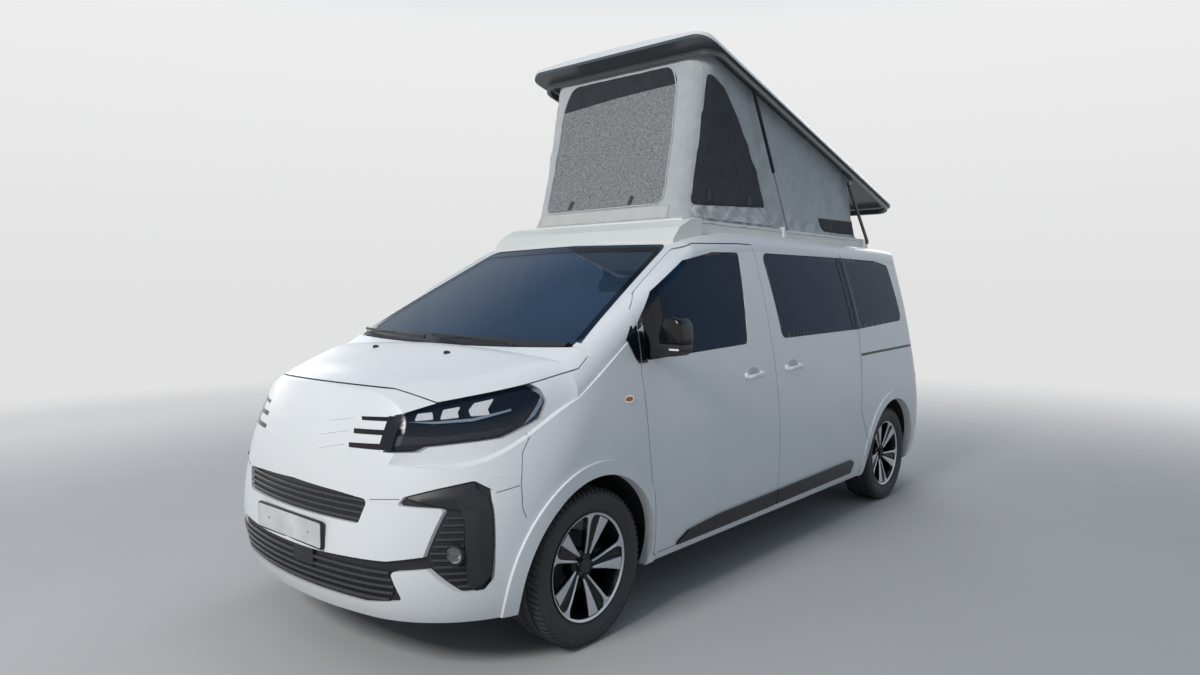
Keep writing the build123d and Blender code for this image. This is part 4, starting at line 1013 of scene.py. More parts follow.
# headlamps: dark housing, three reflectors and light guides behind the clear cover, slots and ribs beside it
# a "Lay" is lift, depth, step and corner radius, here and below
lampCut = {
    "outline": [(2.279, 0.532, 1.044), (2.180, 0.616, 1.076), (2.074, 0.702, 1.105), (1.876, 0.821, 1.144),
                (1.836, 0.855, 1.127), (1.827, 0.879, 1.079), (1.873, 0.879, 1.016), (2.021, 0.829, 0.953),
                (2.237, 0.639, 0.925), (2.263, 0.616, 0.910), (2.349, 0.504, 0.913), (2.320, 0.510, 0.980)],
    "housingShare": 0.975, "housingLay": (-0.016, 0.002, 0.012, 0.02),
    "step": [(2.300, 0.530, 0.968), (2.215, 0.655, 0.962), (2.060, 0.800, 0.985), (1.96, 0.845, 1.000),
             (2.04, 0.822, 0.966), (2.235, 0.644, 0.936), (2.330, 0.515, 0.930)],
    "stepLay": (-0.010, 0.003, 0.010, 0.008),
    "blocks": [[(2.254, 0.576, 1.024), (2.204, 0.628, 1.029), (2.199, 0.616, 1.056), (2.236, 0.572, 1.050)],
               [(2.186, 0.648, 1.028), (2.134, 0.700, 1.036), (2.134, 0.690, 1.054), (2.112, 0.682, 1.076),
                (2.166, 0.641, 1.064)],
               [(2.100, 0.730, 1.040), (2.043, 0.779, 1.045), (2.046, 0.768, 1.066), (2.002, 0.757, 1.104),
                (2.070, 0.716, 1.088), (2.100, 0.716, 1.062)]],
    "blockLay": (-0.006, 0.008, 0.008, 0.006),
    "guides": [[(2.276, 0.560, 1.019), (2.200, 0.640, 1.021), (2.100, 0.742, 1.032), (1.960, 0.815, 1.064),
                (1.968, 0.822, 1.056), (2.110, 0.752, 1.021), (2.210, 0.645, 1.012)],
               [(1.850, 0.870, 1.108), (1.846, 0.876, 1.080), (1.884, 0.870, 1.030), (1.935, 0.858, 0.998),
                (1.900, 0.860, 1.030), (1.870, 0.866, 1.070)]],
    "guideLay": (-0.005, 0.004, 0.008, 0.004),
    "slots": [[(2.351, 0.366, 1.031), (2.298, 0.505, 1.035), (2.302, 0.511, 1.019), (2.356, 0.373, 1.017)],
              [(2.374, 0.345, 0.984), (2.328, 0.492, 0.986), (2.332, 0.498, 0.967), (2.379, 0.351, 0.965)],
              [(2.392, 0.336, 0.929), (2.344, 0.500, 0.935), (2.349, 0.506, 0.912), (2.396, 0.341, 0.911)]],
    "slotLay": (0.0012, 0.002, 0.010, 0.003),
    "bridgeLevels": [1.038, 1.018, 0.990, 0.966, 0.940, 0.912], "bridgeIn": 0.484, "bridgeOut": 0.536,
    "bridgeLift": 0.0014,
    "ribs": [((0.196, 1.003), (0.330, 1.024)), ((0.158, 0.944), (0.315, 0.974)),
             ((0.140, 0.886), (0.308, 0.920))],
    "ribLift": 0.0006, "ribSection": (0.0045, 0.004),
}


def addLamps():
    cover, nose = surfaceOf("headlamps"), surfaceOf("nose_panel", "headlamps")
    housing = shrunk(lampCut["outline"], lampCut["housingShare"])
    rows = [("lampHousings", [housing], frontCorner, cover, "housingLay", "glossBlack", "black_plastic"),
            ("lampSteps", [lampCut["step"]], frontCorner, cover, "stepLay", "trimGrey", None),
            ("lampReflectors", lampCut["blocks"], frontCorner, cover, "blockLay", "clearLens", None),
            ("lampGuides", lampCut["guides"], frontCorner, cover, "guideLay", "blueLens", None),
            ("noseSlots", lampCut["slots"], ahead, nose, "slotLay", "glossBlack", None)]
    for name, outlines, direction, surface, lay, key, slotName in rows:
        addPiece(name, bothSides(laid(outlines, direction, surface, lampCut[lay])), key, "body")
    # a strip that joins the slots across the gap between nose and lamp
    levels, lift = lampCut["bridgeLevels"], lampCut["bridgeLift"]
    inner = lineOn([(lampCut["bridgeIn"], z) for z in levels], ahead, surfaceOf("nose_panel"), lift)
    outer = lineOn([(lampCut["bridgeOut"], z) for z in levels], ahead, cover, lift)
    count = len(levels)
    bridge = (inner + outer, [(k, k + 1, k + count + 1, k + count) for k in range(count - 1)])
    addPiece("lampBridges", bothSides(bridge), "glossBlack", clean=True)
    lines = [lineOn(along(a, b, 12), ahead, nose, lampCut["ribLift"]) for a, b in lampCut["ribs"]]
    addBars("noseRibs", mirroredLines(lines), lampCut["ribSection"], "whitePaint")


addLamps()

# grille bars, corner trims with ribs, fog lamps and radar cover
grilleCut = {
    "bars": [(0.643, 0.436), (0.667, 0.446), (0.691, 0.455), (0.714, 0.458), (0.345, 0.560), (0.372, 0.580),
             (0.399, 0.588), (0.426, 0.582), (0.453, 0.574)],
    "barLift": 0.006, "barSection": (0.011, 0.010),
    "trimFront": [(0.845, 0.394), (0.808, 0.388), (0.800, 0.420), (0.802, 0.660), (0.790, 0.702),
                  (0.757, 0.705), (0.606, 0.714), (0.626, 0.742), (0.724, 0.774), (0.810, 0.798)],
    "trimSide": [(2.150, 0.778), (2.118, 0.742), (2.110, 0.690), (2.110, 0.560), (2.112, 0.450),
                 (2.130, 0.420)],
    "trimLift": 0.0135, "trimLay": (0.014, 0.010, 0.012), "trimCrease": 24.0,
    "ridge": [(0.612, 0.722), (0.790, 0.748), (0.832, 0.705), (0.838, 0.43)], "ridgeRise": 0.010,
    "ridgeReach": 0.042,
    "innerEdge": [(0.381, 0.784), (0.475, 0.717), (0.526, 0.705), (0.706, 0.757)],
    "ribLevels": (0.404, 0.695), "ribStep": 0.0265, "ribGap": 0.008, "ribLatest": 0.785, "ribEnd": 0.803,
    "ribLift": 0.004, "ribSection": (0.009, 0.009),
    "fog": (0.781, 0.531), "fogTurn": -66,
    "bezel": [(0.043, -0.02), (0.043, 0.012), (0.040, 0.017), (0.035, 0.017), (0.033, 0.008), (0.033, -0.02)],
    "bowl": [(0.033, 0.006), (0.022, -0.004), (0.0, -0.010), (0.0, -0.014), (0.033, -0.014)],
    "lens": [(0.033, 0.008), (0.030, 0.0125), (0.018, 0.0155), (0.0, 0.0165)],
    "radar": [(0.035, 0.415), (0.175, 0.415), (0.175, 0.485), (0.035, 0.485)],
    "radarLay": (0.0125, 0.012, 0.012, 0.012),
}


# the corner trim stands up to a ridge along its middle
def trimRise(p):
    spot, reach = Vector((p.y, p.z)), 1.0
    for a, b in zip(grilleCut["ridge"], grilleCut["ridge"][1:]):
        _, t = geometry.intersect_point_line(spot, Vector(a), Vector(b))
        near = Vector(a).lerp(Vector(b), min(max(t, 0.0), 1.0))
        reach = min(reach, (spot - near).length)
    return grilleCut["trimLift"] + grilleCut["ridgeRise"] * max(0.0, 1 - reach / grilleCut["ridgeReach"])


def addGrilles():
    face = surfaceOf("front_grilles")
    bars = [lineOn(along((-half, z), (half, z), 48), ahead, face, grilleCut["barLift"])
            for z, half in grilleCut["bars"]]
    addBars("grilleBars", bars, grilleCut["barSection"], "ribGrey")
    outline = lineOn(grilleCut["trimFront"], ahead, face) + lineOn(grilleCut["trimSide"], aside, face)
    trim = layOn(outline, frontCorner, face, trimRise, *grilleCut["trimLay"])
    addPiece("cornerTrims", bothSides(trim), "trimGrey", sharp=grilleCut["trimCrease"])
    ribs = []
    level, top = grilleCut["ribLevels"]
    while level < top:
        start = edgeAt(level, grilleCut["innerEdge"]) + grilleCut["ribGap"]
        if start < grilleCut["ribLatest"]:
            row = along((start, level), (grilleCut["ribEnd"], level), 10)
            ribs.append(lineOn(row, ahead, face, grilleCut["ribLift"]))
        level += grilleCut["ribStep"]
    addBars("cornerRibs", mirroredLines(ribs), grilleCut["ribSection"], "ribGrey")
    spot = lineOn([grilleCut["fog"]], ahead, face)[0]
    for name, profile, closed, key, slotName in (("fogBezels", "bezel", True, "satinBlack", None),
                                                 ("fogBowls", "bowl", False, "machinedAlloy", "lamp_clear"),
                                                 ("fogLenses", "lens", False, "fogGlass", None)):
        part = turnedAt(spot, grilleCut["fogTurn"], "Z", grilleCut[profile], 48, closed)
        addPiece(name, bothSides(part), key, "body", clean=True)
    addPiece("radarCover", layOn(grilleCut["radar"], ahead, face, *grilleCut["radarLay"]), "satinBlack")


addGrilles()

# blank number plate in its holder
plateCut = {"half": 0.260, "low": 0.496, "high": 0.610, "face": 2.480, "frame": 0.007,
            "holder": (-0.016, -0.0030), "holderCorner": 0.012, "holderBevel": 0.0025,
            "blank": (-0.006, -0.0012), "blankCorner": 0.010, "blankBevel": 0.001,
            "screw": [(0.0, 0.0012), (0.004, 0.0010), (0.0052, 0.0)], "screws": (-0.16, 0.16)}


def addPlate():
    h, a, b, x, f = (plateCut[k] for k in ("half", "low", "high", "face", "frame"))

    def board(inset, depths, corner):
        outline = evenOutline((h - inset, a + inset), (h - inset, b - inset))
        return slab(outline, "x", x + depths[0], x + depths[1], corner)

    base = addPiece("plateHolder", board(0.0, plateCut["holder"], plateCut["holderCorner"]), "satinBlack")
    bevelled(base, plateCut["holderBevel"])
    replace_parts(base, "number_plate")
    blank = addPiece("plateBlank", board(f, plateCut["blank"], plateCut["blankCorner"]), "plateWhite")
    bevelled(blank, plateCut["blankBevel"])
    front = x + plateCut["blank"][1]
    screws = [turnedAt((front, y, (a + b) / 2), -90, "Z", plateCut["screw"], 20) for y in plateCut["screws"]]
    addPiece("plateScrews", joined(*screws), "bareSteel", clean=True)


addPlate()
print("stage: nose")

# windscreen border, wipers, washer jets, cabin mirror and sensor housing
screenCut = {
    "edge": evenOutline((0.826, 1.195), (0.826, 1.262), (0.656, 1.758), (0, 1.772)),
    "edgeBand": (0.026, 0.0012, 0.015, 0.05),
    "foot": evenOutline((0.83, 1.19), (0.815, 1.318), (0.45, 1.307), (0, 1.303)),
    "footLay": (0.0010, 0.0008, 0.02, 0.02),
    "visor": [(0.20, 1.705), (0.60, 1.690), (0.62, 1.772), (0.22, 1.782)],
    "visorLay": (-0.010, 0.002, 0.02, 0.02),
    "sensor": evenOutline((0.10, 1.668), (0.13, 1.782)),
    "sensorLay": (-0.010, 0.03, 0.02, 0.03),
    "mirror": evenOutline((0.125, 1.585), (0.130, 1.650)), "mirrorX": (0.80, 0.83),
    "mirrorCorner": 0.022, "mirrorBevel": 0.004,
    "stalk": evenOutline((0.012, 1.63), (0.012, 1.70)), "stalkX": (0.815, 0.835),
    "wipers": [((-0.80, 1.306), (-0.13, 1.288), (-0.70, 1.294)),
               ((-0.09, 1.300), (0.50, 1.283), (0.00, 1.288))],
    "bladeLift": 0.016, "bladeSection": (0.010, 0.014), "armLift": 0.012, "armSection": (0.013, 0.008),
    "armHolds": [(9, (0.004, 0, 0.004)), (13, (0.002, 0, 0.004))],
    "jets": [(1.848, -0.288), (1.855, 0.278)], "jetTurn": 76,
    "jet": [(0.017, -0.002), (0.016, 0.004), (0.010, 0.009), (0.0, 0.010)],
}


def addScreen():
    glass = surfaceOf("windscreen")

    def onGlass(key):
        return layOn(screenCut[key], ahead, glass, *screenCut[key + "Lay"])

    border = bandOn(screenCut["edge"], ahead, glass, *screenCut["edgeBand"])
    addPiece("screenBorder", joined(border, onGlass("foot")), "fritBlack")
    addPiece("screenSensor", joined(onGlass("visor"), onGlass("sensor")), "satinBlack")
    mirror = slab(screenCut["mirror"], "x", *screenCut["mirrorX"], screenCut["mirrorCorner"])
    stalk = slab(screenCut["stalk"], "x", *screenCut["stalkX"])
    bevelled(addPiece("cabinMirror", joined(mirror, stalk), "satinBlack"), screenCut["mirrorBevel"])
    deck = surfaceOf("windscreen", "cowl", "bonnet", "front_wings")
    blades, arms = [], []
    for a, b, pivot in screenCut["wipers"]:
        blade = lineOn(along(a, b, 24), ahead, deck, screenCut["bladeLift"])
        blades.append(blade)
        start = lineOn([pivot], ahead, deck, screenCut["armLift"])
        arms.append(start + [blade[k] + Vector(offset) for k, offset in screenCut["armHolds"]])
    addBars("wiperBlades", blades, screenCut["bladeSection"], "satinBlack")
    addBars("wiperArms", arms, screenCut["armSection"], "satinBlack")
    hood = surfaceOf("bonnet")
    jets = [turnedAt(spotOn((x, y, 0), upright, hood), screenCut["jetTurn"], "X", screenCut["jet"], 24)
            for x, y in screenCut["jets"]]
    addPiece("washerJets", joined(*jets), "satinBlack", "bonnet", clean=True)


addScreen()

# side windows with black edges, repeaters and slide rails
# a "Band" is width, lift, step and corner radius, here and below
sideCut = {
    "door": [(1.228, 1.212), (1.224, 1.418), (1.106, 1.526), (0.805, 1.682), (0.522, 1.734), (0.262, 1.740),
             (0.330, 1.244)],
    "doorBand": (0.016, 0.0012, 0.012, 0.03),
    "sail": [(1.224, 1.216), (1.221, 1.416), (1.108, 1.520), (1.060, 1.546), (1.078, 1.226)],
    "sailLay": (0.0022, 0.002, 0.015, 0.012),
    "sliding": [(-0.062, 1.256), (0.008, 1.748), (-1.030, 1.752), (-1.102, 1.272)],
    "quarter": [(-1.150, 1.274), (-1.078, 1.752), (-1.640, 1.748), (-1.850, 1.718), (-1.930, 1.312)],
    "band": (0.026, 0.0012, 0.014, 0.03),
    "repeater": (1.380, 1.052), "repeaterSize": (0.034, 0.017), "lensShare": (0.7, 0.66),
    "repeaterLay": (0.003, 0.004, 0.008), "lensLay": (0.0055, 0.004, 0.006),
    "rail": [(-1.135, 1.100), (-2.060, 1.120)], "railHalf": 0.008, "railLay": (0.0008, 0.001, 0.02, 0.004),
}
# a bowed grip on two feet over a shallow cup, drawn as a thin oval of darker white whose darkness is painted
# shade, at each place with its skin and the bodies it rides
handleCut = {
    "places": [((0.296, 1.079), "door_front_left", doors),
               ((-0.153, 1.092), "sliding_door_left", ("body", "body"))],
    "cup": (0.060, 0.034), "cupRise": 0.004, "cupLay": (0.0006, 0.001, 0.01), "reach": 0.092, "drop": 0.004,
    "slope": 0.010, "low": 0.010, "bow": 0.026, "size": 0.0125, "taper": 0.35, "depthShare": 0.62,
    "heightShare": 1.15, "steps": 26, "ring": 16, "crease": 50.0, "feet": (0.07, 0.93), "footHalf": 0.016,
    "footTop": 0.012, "footY": (-0.004, 0.018), "footCorner": 0.010,
}


def addSides():
    doorGlass, sideGlass = surfaceOf("door_glass_left"), surfaceOf("side_glass")
    edge = bandOn(sideCut["door"], aside, doorGlass, *sideCut["doorBand"])
    sail = layOn(sideCut["sail"], aside, doorGlass, *sideCut["sailLay"])
    addPair("doorWindowEdge", joined(edge, sail), "fritBlack", doors)
    rows = [bandOn(sideCut[key], aside, sideGlass, *sideCut["band"]) for key in ("sliding", "quarter")]
    addPiece("sideWindowEdges", bothSides(joined(*rows)), "fritBlack")


def gripPart(x, z, skin):
    cut = handleCut
    verts, faces = [], []
    count, ring = cut["steps"], cut["ring"]
    for k in range(count + 1):
        t = k / count
        place = (x + cut["reach"] - 2 * cut["reach"] * t, 0, z - cut["drop"] + cut["slope"] * (t - 0.5))
        rise = cut["low"] + cut["bow"] * (1 - (2 * t - 1) ** 4)
        size = cut["size"] * (1 - cut["taper"] * abs(2 * t - 1) ** 3)
        middle = spotOn(place, aside, skin) + Vector((0, rise, 0))
        deep, high = cut["depthShare"] * size, cut["heightShare"] * size
        for j in range(ring):
            a = 2 * math.pi * j / ring
            verts.append(middle + Vector((0, deep * math.cos(a), high * math.sin(a))))
    for k in range(count):
        for j in range(ring):
            a, b = k * ring + j, k * ring + (j + 1) % ring
            faces.append((a, b, b + ring, a + ring))
    faces += [tuple(range(ring)), tuple(reversed(range(count * ring, (count + 1) * ring)))]
    feet = []
    half, low, high = cut["footHalf"], z - cut["footHalf"], z + cut["footTop"]
    for t in cut["feet"]:
        px = x + cut["reach"] - 2 * cut["reach"] * t
        y = spotOn((px, 0, z), aside, skin).y
        outline = [(px - half, low), (px + half, low), (px + half, high), (px - half, high)]
        feet.append(slab(outline, "y", y + cut["footY"][0], y + cut["footY"][1], cut["footCorner"]))
    return joined((verts, faces), *feet)


def addHandles():
    for i, ((x, z), skinName, bodies) in enumerate(handleCut["places"]):
        skin = surfaceOf(skinName)
        outline = oval(x, z + handleCut["cupRise"], *handleCut["cup"])
        addPair("handleCupShade%d" % i, layOn(outline, aside, skin, *handleCut["cupLay"]), "shadeWhite", bodies)
        grip = gripPart(x, z, skin)
        addPair("handleGrip%d" % i, grip, "whitePaint", bodies, handleCut["crease"], clean=True)


def addSideDetails():
    wing, quarter = surfaceOf("front_wings", "side_left"), surfaceOf("side_left")
    x, z = sideCut["repeater"]
    wide, high = sideCut["lensShare"]
    rim = oval(x, z, *sideCut["repeaterSize"])
    lens = [(x + (u - x) * wide, z + (v - z) * high) for u, v in rim]
    a, b = sideCut["rail"]
    h = sideCut["railHalf"]
    strip = [(a[0], a[1] - h), (b[0], b[1] - h), (b[0], b[1] + h), (a[0], a[1] + h)]
    for name, outline, surface, lay, key in (("repeaterRims", rim, wing, "repeaterLay", "chromeBowl"),
                                             ("repeaterLenses", lens, wing, "lensLay", "amberLens"),
                                             ("slideRails", strip, quarter, "railLay", "satinBlack")):
        addPiece(name, bothSides(layOn(outline, aside, surface, *sideCut[lay])), key)


addSides()
addHandles()
addSideDetails()

# door mirrors: outlines seen from the front, and how far each block reaches along the van
mirrorCut = {
    "head": [(0.972, 1.284), (1.098, 1.284), (1.102, 1.330), (1.094, 1.384), (1.062, 1.414), (1.006, 1.415),
             (0.982, 1.384), (0.968, 1.330)],
    "headX": (1.100, 1.204), "headCorner": 0.02, "headBevel": (0.030, 6),
    "arm": [(0.930, 1.224), (1.072, 1.236), (1.100, 1.258), (1.099, 1.290), (0.952, 1.290), (0.930, 1.282)],
    "armX": (1.106, 1.213), "armCorner": 0.012, "armBevel": (0.010, 4), "crease": 60.0,
    "glassMiddle": (1.034, 1.346), "glassShare": (0.80, 0.78), "glassX": (1.0985, 1.1015),
    "glassCorner": 0.014, "glassBevel": 0.001,
    "repeater": [(1.040, 1.262), (1.094, 1.262), (1.092, 1.270), (1.040, 1.270)],
    "repeaterX": (1.2125, 1.2145), "repeaterCorner": 0.003,
}


def addMirror(body, flip):
    name = body.replace("door", "mirror")

    def block(key, outline=None):
        cut = outline or mirrorCut[key]
        return flip(slab(cut, "x", *mirrorCut[key + "X"], mirrorCut[key + "Corner"]))

    def addShell(key, finishKey):
        shell = addPiece(name + "_" + key, block(key), finishKey, body, mirrorCut["crease"])
        bevelled(shell, *mirrorCut[key + "Bevel"])
        softShade(shell.data, mirrorCut["crease"])
        return shell

    head = addShell("head", "glossBlack")
    addShell("arm", "satinBlack")
    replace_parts(head, name)
    (y, z), (wide, high) = mirrorCut["glassMiddle"], mirrorCut["glassShare"]
    small = [(y + (u - y) * wide, z + (v - z) * high) for u, v in mirrorCut["head"]]
    glass = addPiece(name + "_glass", block("glass", small), "mirrorGlass", body)
    bevelled(glass, mirrorCut["glassBevel"])
    addPiece(name + "_repeater", block("repeater"), "clearLens", body)


addMirror(doors[0], lambda part: part)
addMirror(doors[1], otherSide)
print("stage: glass, sides and mirrors")

# seats as stuffed pads on plain frames: outlines seen from the side
seatCut = {
    "cushion": [(0.770, 0.690), (0.780, 0.830), (0.420, 0.810), (0.250, 0.690)],
    "back": [(0.250, 0.690), (0.420, 0.810), (0.300, 1.350), (0.180, 1.350)],
    "headrest": [(0.180, 1.362), (0.300, 1.362), (0.285, 1.590), (0.190, 1.590)],
    "benchCushion": [(-0.660, 0.680), (-0.650, 0.820), (-1.060, 0.800), (-1.260, 0.680)],
    "benchBack": [(-1.260, 0.680), (-1.060, 0.800), (-1.180, 1.420), (-1.300, 1.420)],
    "places": [0.40, -0.40], "width": 0.48, "headWidth": 0.30, "bench": (-0.62, 0.38),
    "seatFill": 0.8, "headFill": 0.9, "benchFill": 0.7,
    "frame": [(0.335, 0.40), (0.615, 0.40), (0.60, 0.69), (0.35, 0.69)], "frameHalf": 0.165,
    "benchFrame": [(-1.195, 0.40), (-0.805, 0.40), (-0.815, 0.68), (-1.185, 0.68)],
    "benchFrameY": (-0.60, 0.36), "frameCorner": 0.02, "frameBevel": 0.006,
    "padShare": 0.985, "padGap": 0.004, "padCorner": 0.035, "padBevel": (0.032, 5), "padEdge": 0.06,
    "sink": 0.006, "dimple": 0.004, "seam": 0.002, "seamStep": 0.12,
}


def addPad(name, outline, low, high, fill):
    gap = seatCut["padGap"]
    block = slab(shrunk(outline, seatCut["padShare"]), "y", low + gap, high - gap, seatCut["padCorner"])
    pad = addPiece(name, block, "seatCloth", sharp=allSmooth)
    bevelled(pad, *seatCut["padBevel"])
    bm = bmesh.new()
    bm.from_mesh(pad.data)
    bmesh.ops.triangulate(bm, faces=[f for f in bm.faces if len(f.verts) > 4])
    longEdges = [e for e in bm.edges if e.calc_length() > seatCut["padEdge"]]
    bmesh.ops.subdivide_edges(bm, edges=longEdges, cuts=4, use_grid_fill=True)
    for v in bm.verts:
        seam = seatCut["seam"] * math.cos(v.co.y * 2 * math.pi / seatCut["seamStep"])
        v.co -= v.normal * (seatCut["sink"] + seatCut["dimple"] * noise.noise(v.co * 7.0) + seam)
    bm.to_mesh(pad.data)
    bm.free()
    softShade(pad.data, allSmooth)
    return pad


def addSeats():
    half, headHalf, fill = seatCut["width"] / 2, seatCut["headWidth"] / 2, seatCut["seatFill"]
    cushions = []
    for side, y in zip(("Left", "Right"), seatCut["places"]):
        cushions.append(addPad("seatCushion" + side, seatCut["cushion"], y - half, y + half, fill))
        addPad("seatBack" + side, seatCut["back"], y - half, y + half, fill)
        addPad("headrest" + side, seatCut["headrest"], y - headHalf, y + headHalf, seatCut["headFill"])
    for key in ("benchCushion", "benchBack"):
        addPad(key, seatCut[key], *seatCut["bench"], seatCut["benchFill"])
    corner, h = seatCut["frameCorner"], seatCut["frameHalf"]
    frames = [slab(seatCut["frame"], "y", y - h, y + h, corner) for y in seatCut["places"]]
    frames.append(slab(seatCut["benchFrame"], "y", *seatCut["benchFrameY"], corner))
    bevelled(addPiece("seatFrames", joined(*frames), "satinBlack"), seatCut["frameBevel"])
    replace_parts(cushions[0], "seats")


addSeats()
print("stage: seats")

# rear: lamp divisions from low to high, then panels seen from behind with their lift, depth, step and radius
rearCut = {
    "lampBands": [((0.862, 0.935), "redLens"), ((0.945, 0.992), "clearLens"), ((1.002, 1.045), "amberLens"),
                  ((1.055, 1.130), "redLens")],
    "lampIn": 0.775, "lampSide": -2.205, "lampLay": (0.004, 0.006, 0.012, 0.012),
    "gatePanels": {
        "gateRecess": ("trimGrey", evenOutline((0.30, 0.745), (0.30, 0.905)),
                       (0.0008, 0.001, 0.02, 0.03)),
        "gatePlate": ("plateWhite", evenOutline((0.26, 0.760), (0.26, 0.874)),
                      (0.004, 0.003, 0.02, 0.010)),
        "gatePull": ("whitePaint", evenOutline((0.20, 0.912), (0.19, 0.950)),
                     (0.014, 0.014, 0.012, 0.012)),
        "brakeStrip": ("redLens", evenOutline((0.16, 1.752), (0.155, 1.774)),
                       (0.003, 0.003, 0.012, 0.006)),
    },
    "glass": evenOutline((0.572, 1.240), (0.516, 1.700)),
    "glassBand": (0.030, 0.0012, 0.014, 0.03),
    "wiper": ((0.02, 1.265), (0.40, 1.300)), "wiperLift": 0.012, "wiperSection": (0.012, 0.010),
    "boss": [(0.022, -0.014), (0.021, 0.004), (0.014, 0.009), (0.0, 0.010)],
    "step": evenOutline((0.66, 0.505), (0.65, 0.540)), "stepLay": (0.003, 0.003, 0.02, 0.010),
    "reflector": [(0.60, 0.385), (0.76, 0.385), (0.76, 0.418), (0.60, 0.418)],
    "reflectorLay": (0.003, 0.004, 0.012, 0.008),
}


def addRear():
    lamps, gate, pane = surfaceOf("tail_lamps"), surfaceOf("tailgate"), surfaceOf("tailgate_glass")
    bumper = surfaceOf("rear_bumper")
    for i, ((low, high), key) in enumerate(rearCut["lampBands"]):
        inner = lineOn([(rearCut["lampIn"], z) for z in (low, high)], behind, lamps)
        outer = lineOn([(rearCut["lampSide"], z) for z in (high, low)], aside, lamps)
        band = layOn(inner + outer, rearCorner, lamps, *rearCut["lampLay"])
        addPiece("tailLens%d" % i, bothSides(band), key, "body")
    for name, (key, outline, sizes) in rearCut["gatePanels"].items():
        addPiece(name, layOn(outline, behind, gate, *sizes), key, "tailgate")
    edge = bandOn(rearCut["glass"], behind, pane, *rearCut["glassBand"])
    addPiece("gateGlassEdge", edge, "fritBlack", "tailgate")
    blade = lineOn(along(*rearCut["wiper"], 14), behind, pane, rearCut["wiperLift"])
    addBars("gateWiper", [blade], rearCut["wiperSection"], "satinBlack", "tailgate")
    boss = turnedAt(blade[0], 90, "Z", rearCut["boss"], 28)
    addPiece("gateWiperBoss", boss, "satinBlack", "tailgate", clean=True)
    addPiece("bumperStep", layOn(rearCut["step"], behind, bumper, *rearCut["stepLay"]), "satinBlack")
    reflector = layOn(rearCut["reflector"], behind, bumper, *rearCut["reflectorLay"])
    addPiece("rearReflectors", bothSides(reflector), "redLens")


addRear()

# black parts of the side windows, and the seams of the sliding doors, bumper and wings
seamCut = {
    "doorSail": {"rear": [(1.203, 1.226), (1.418, 1.222), (1.433, 1.208)],
                 "front": [(1.203, 1.2665), (1.320, 1.2660), (1.384, 1.2605), (1.433, 1.212)],
                 "base": 1.236, "step": 0.010, "lift": 0.0030},
    "bodySail": {"rear": [(1.203, 1.2740), (1.320, 1.2735), (1.374, 1.2700)],
                 "front": [(1.203, 1.288), (1.226, 1.310), (1.300, 1.352), (1.318, 1.350), (1.374, 1.276)],
                 "base": 1.282, "step": 0.010, "lift": 0.0034},
    "covers": [[(-1.045, 1.2711), (-1.122, 1.2724), (-1.0615, 1.752), (-0.972, 1.752)],
               [(-1.129, 1.2735), (-1.205, 1.2767), (-1.133, 1.7515), (-1.0685, 1.752)]],
    "coverLay": (0.0025, 0.001, 0.012),
    "bumper": [(0.483, 0.725), (0.548, 0.732), (0.609, 0.736)],
    "bumperCorner": [(2.095, 0.758), (2.053, 0.766), (2.006, 0.776)],
    "wing": [(1.931, 0.965), (1.979, 0.895), (2.001, 0.783), (2.005, 0.691), (1.991, 0.649)],
    "slide": [(-1.056, 1.775), (-1.121, 1.262), (-1.114, 0.720), (-1.251, 0.520), (-1.284, 0.300)],
    "section": (0.0022, 0.0022),
}


# rows of two points up the window's front edge, each laid on the skin or glass behind it
def sailPart(cut, surface):
    verts, level, top = [], cut["rear"][0][0], cut["rear"][-1][0]
    while level <= top + tiny:
        for key in ("rear", "front"):
            x = edgeAt(level, cut[key])
            hits = lineOn(along((x, level), (cut["base"], level), 12), aside, surface)
            verts.append(Vector((x, hits[0].y + cut["lift"], level)))
        level += cut["step"]
    return verts, [(2 * k, 2 * k + 1, 2 * k + 3, 2 * k + 2) for k in range(len(verts) // 2 - 1)]


def seamLine(points):
    line = []
    for a, b in zip(points, points[1:]):
        line += along(a, b, 16)[:-1]
    return line + [Vector(points[-1])]


def addSeams():
    panel = sailPart(seamCut["doorSail"], surfaceOf("door_front_left", "door_glass_left"))
    addPair("doorSail", panel, "fritBlack", doors, clean=True)
    panel = sailPart(seamCut["bodySail"], surfaceOf("side_left", "front_wings", "side_glass"))
    addPiece("bodySail", bothSides(panel), "fritBlack", clean=True)
    glazed = surfaceOf("side_left", "sliding_door_left", "side_glass")
    covers = laid(seamCut["covers"], aside, glazed, seamCut["coverLay"])
    addPiece("pillarCovers", bothSides(covers), "pillarGlass")
    slide = lineOn(seamLine(seamCut["slide"]), aside, surfaceOf("sliding_door_left"))
    addBars("slideSeams", mirroredLines([slide]), seamCut["section"], "roughBlack")
    nose = surfaceOf("nose_panel", "front_bumper", "front_wings")
    lines = [lineOn(seamLine(seamCut["bumper"]), ahead, nose)]
    lines += [lineOn(seamLine(seamCut[key]), aside, nose) for key in ("bumperCorner", "wing")]
    addBars("bumperSeams", mirroredLines(lines), seamCut["section"], "roughBlack")


addSeams()
print("stage: rear and seams")

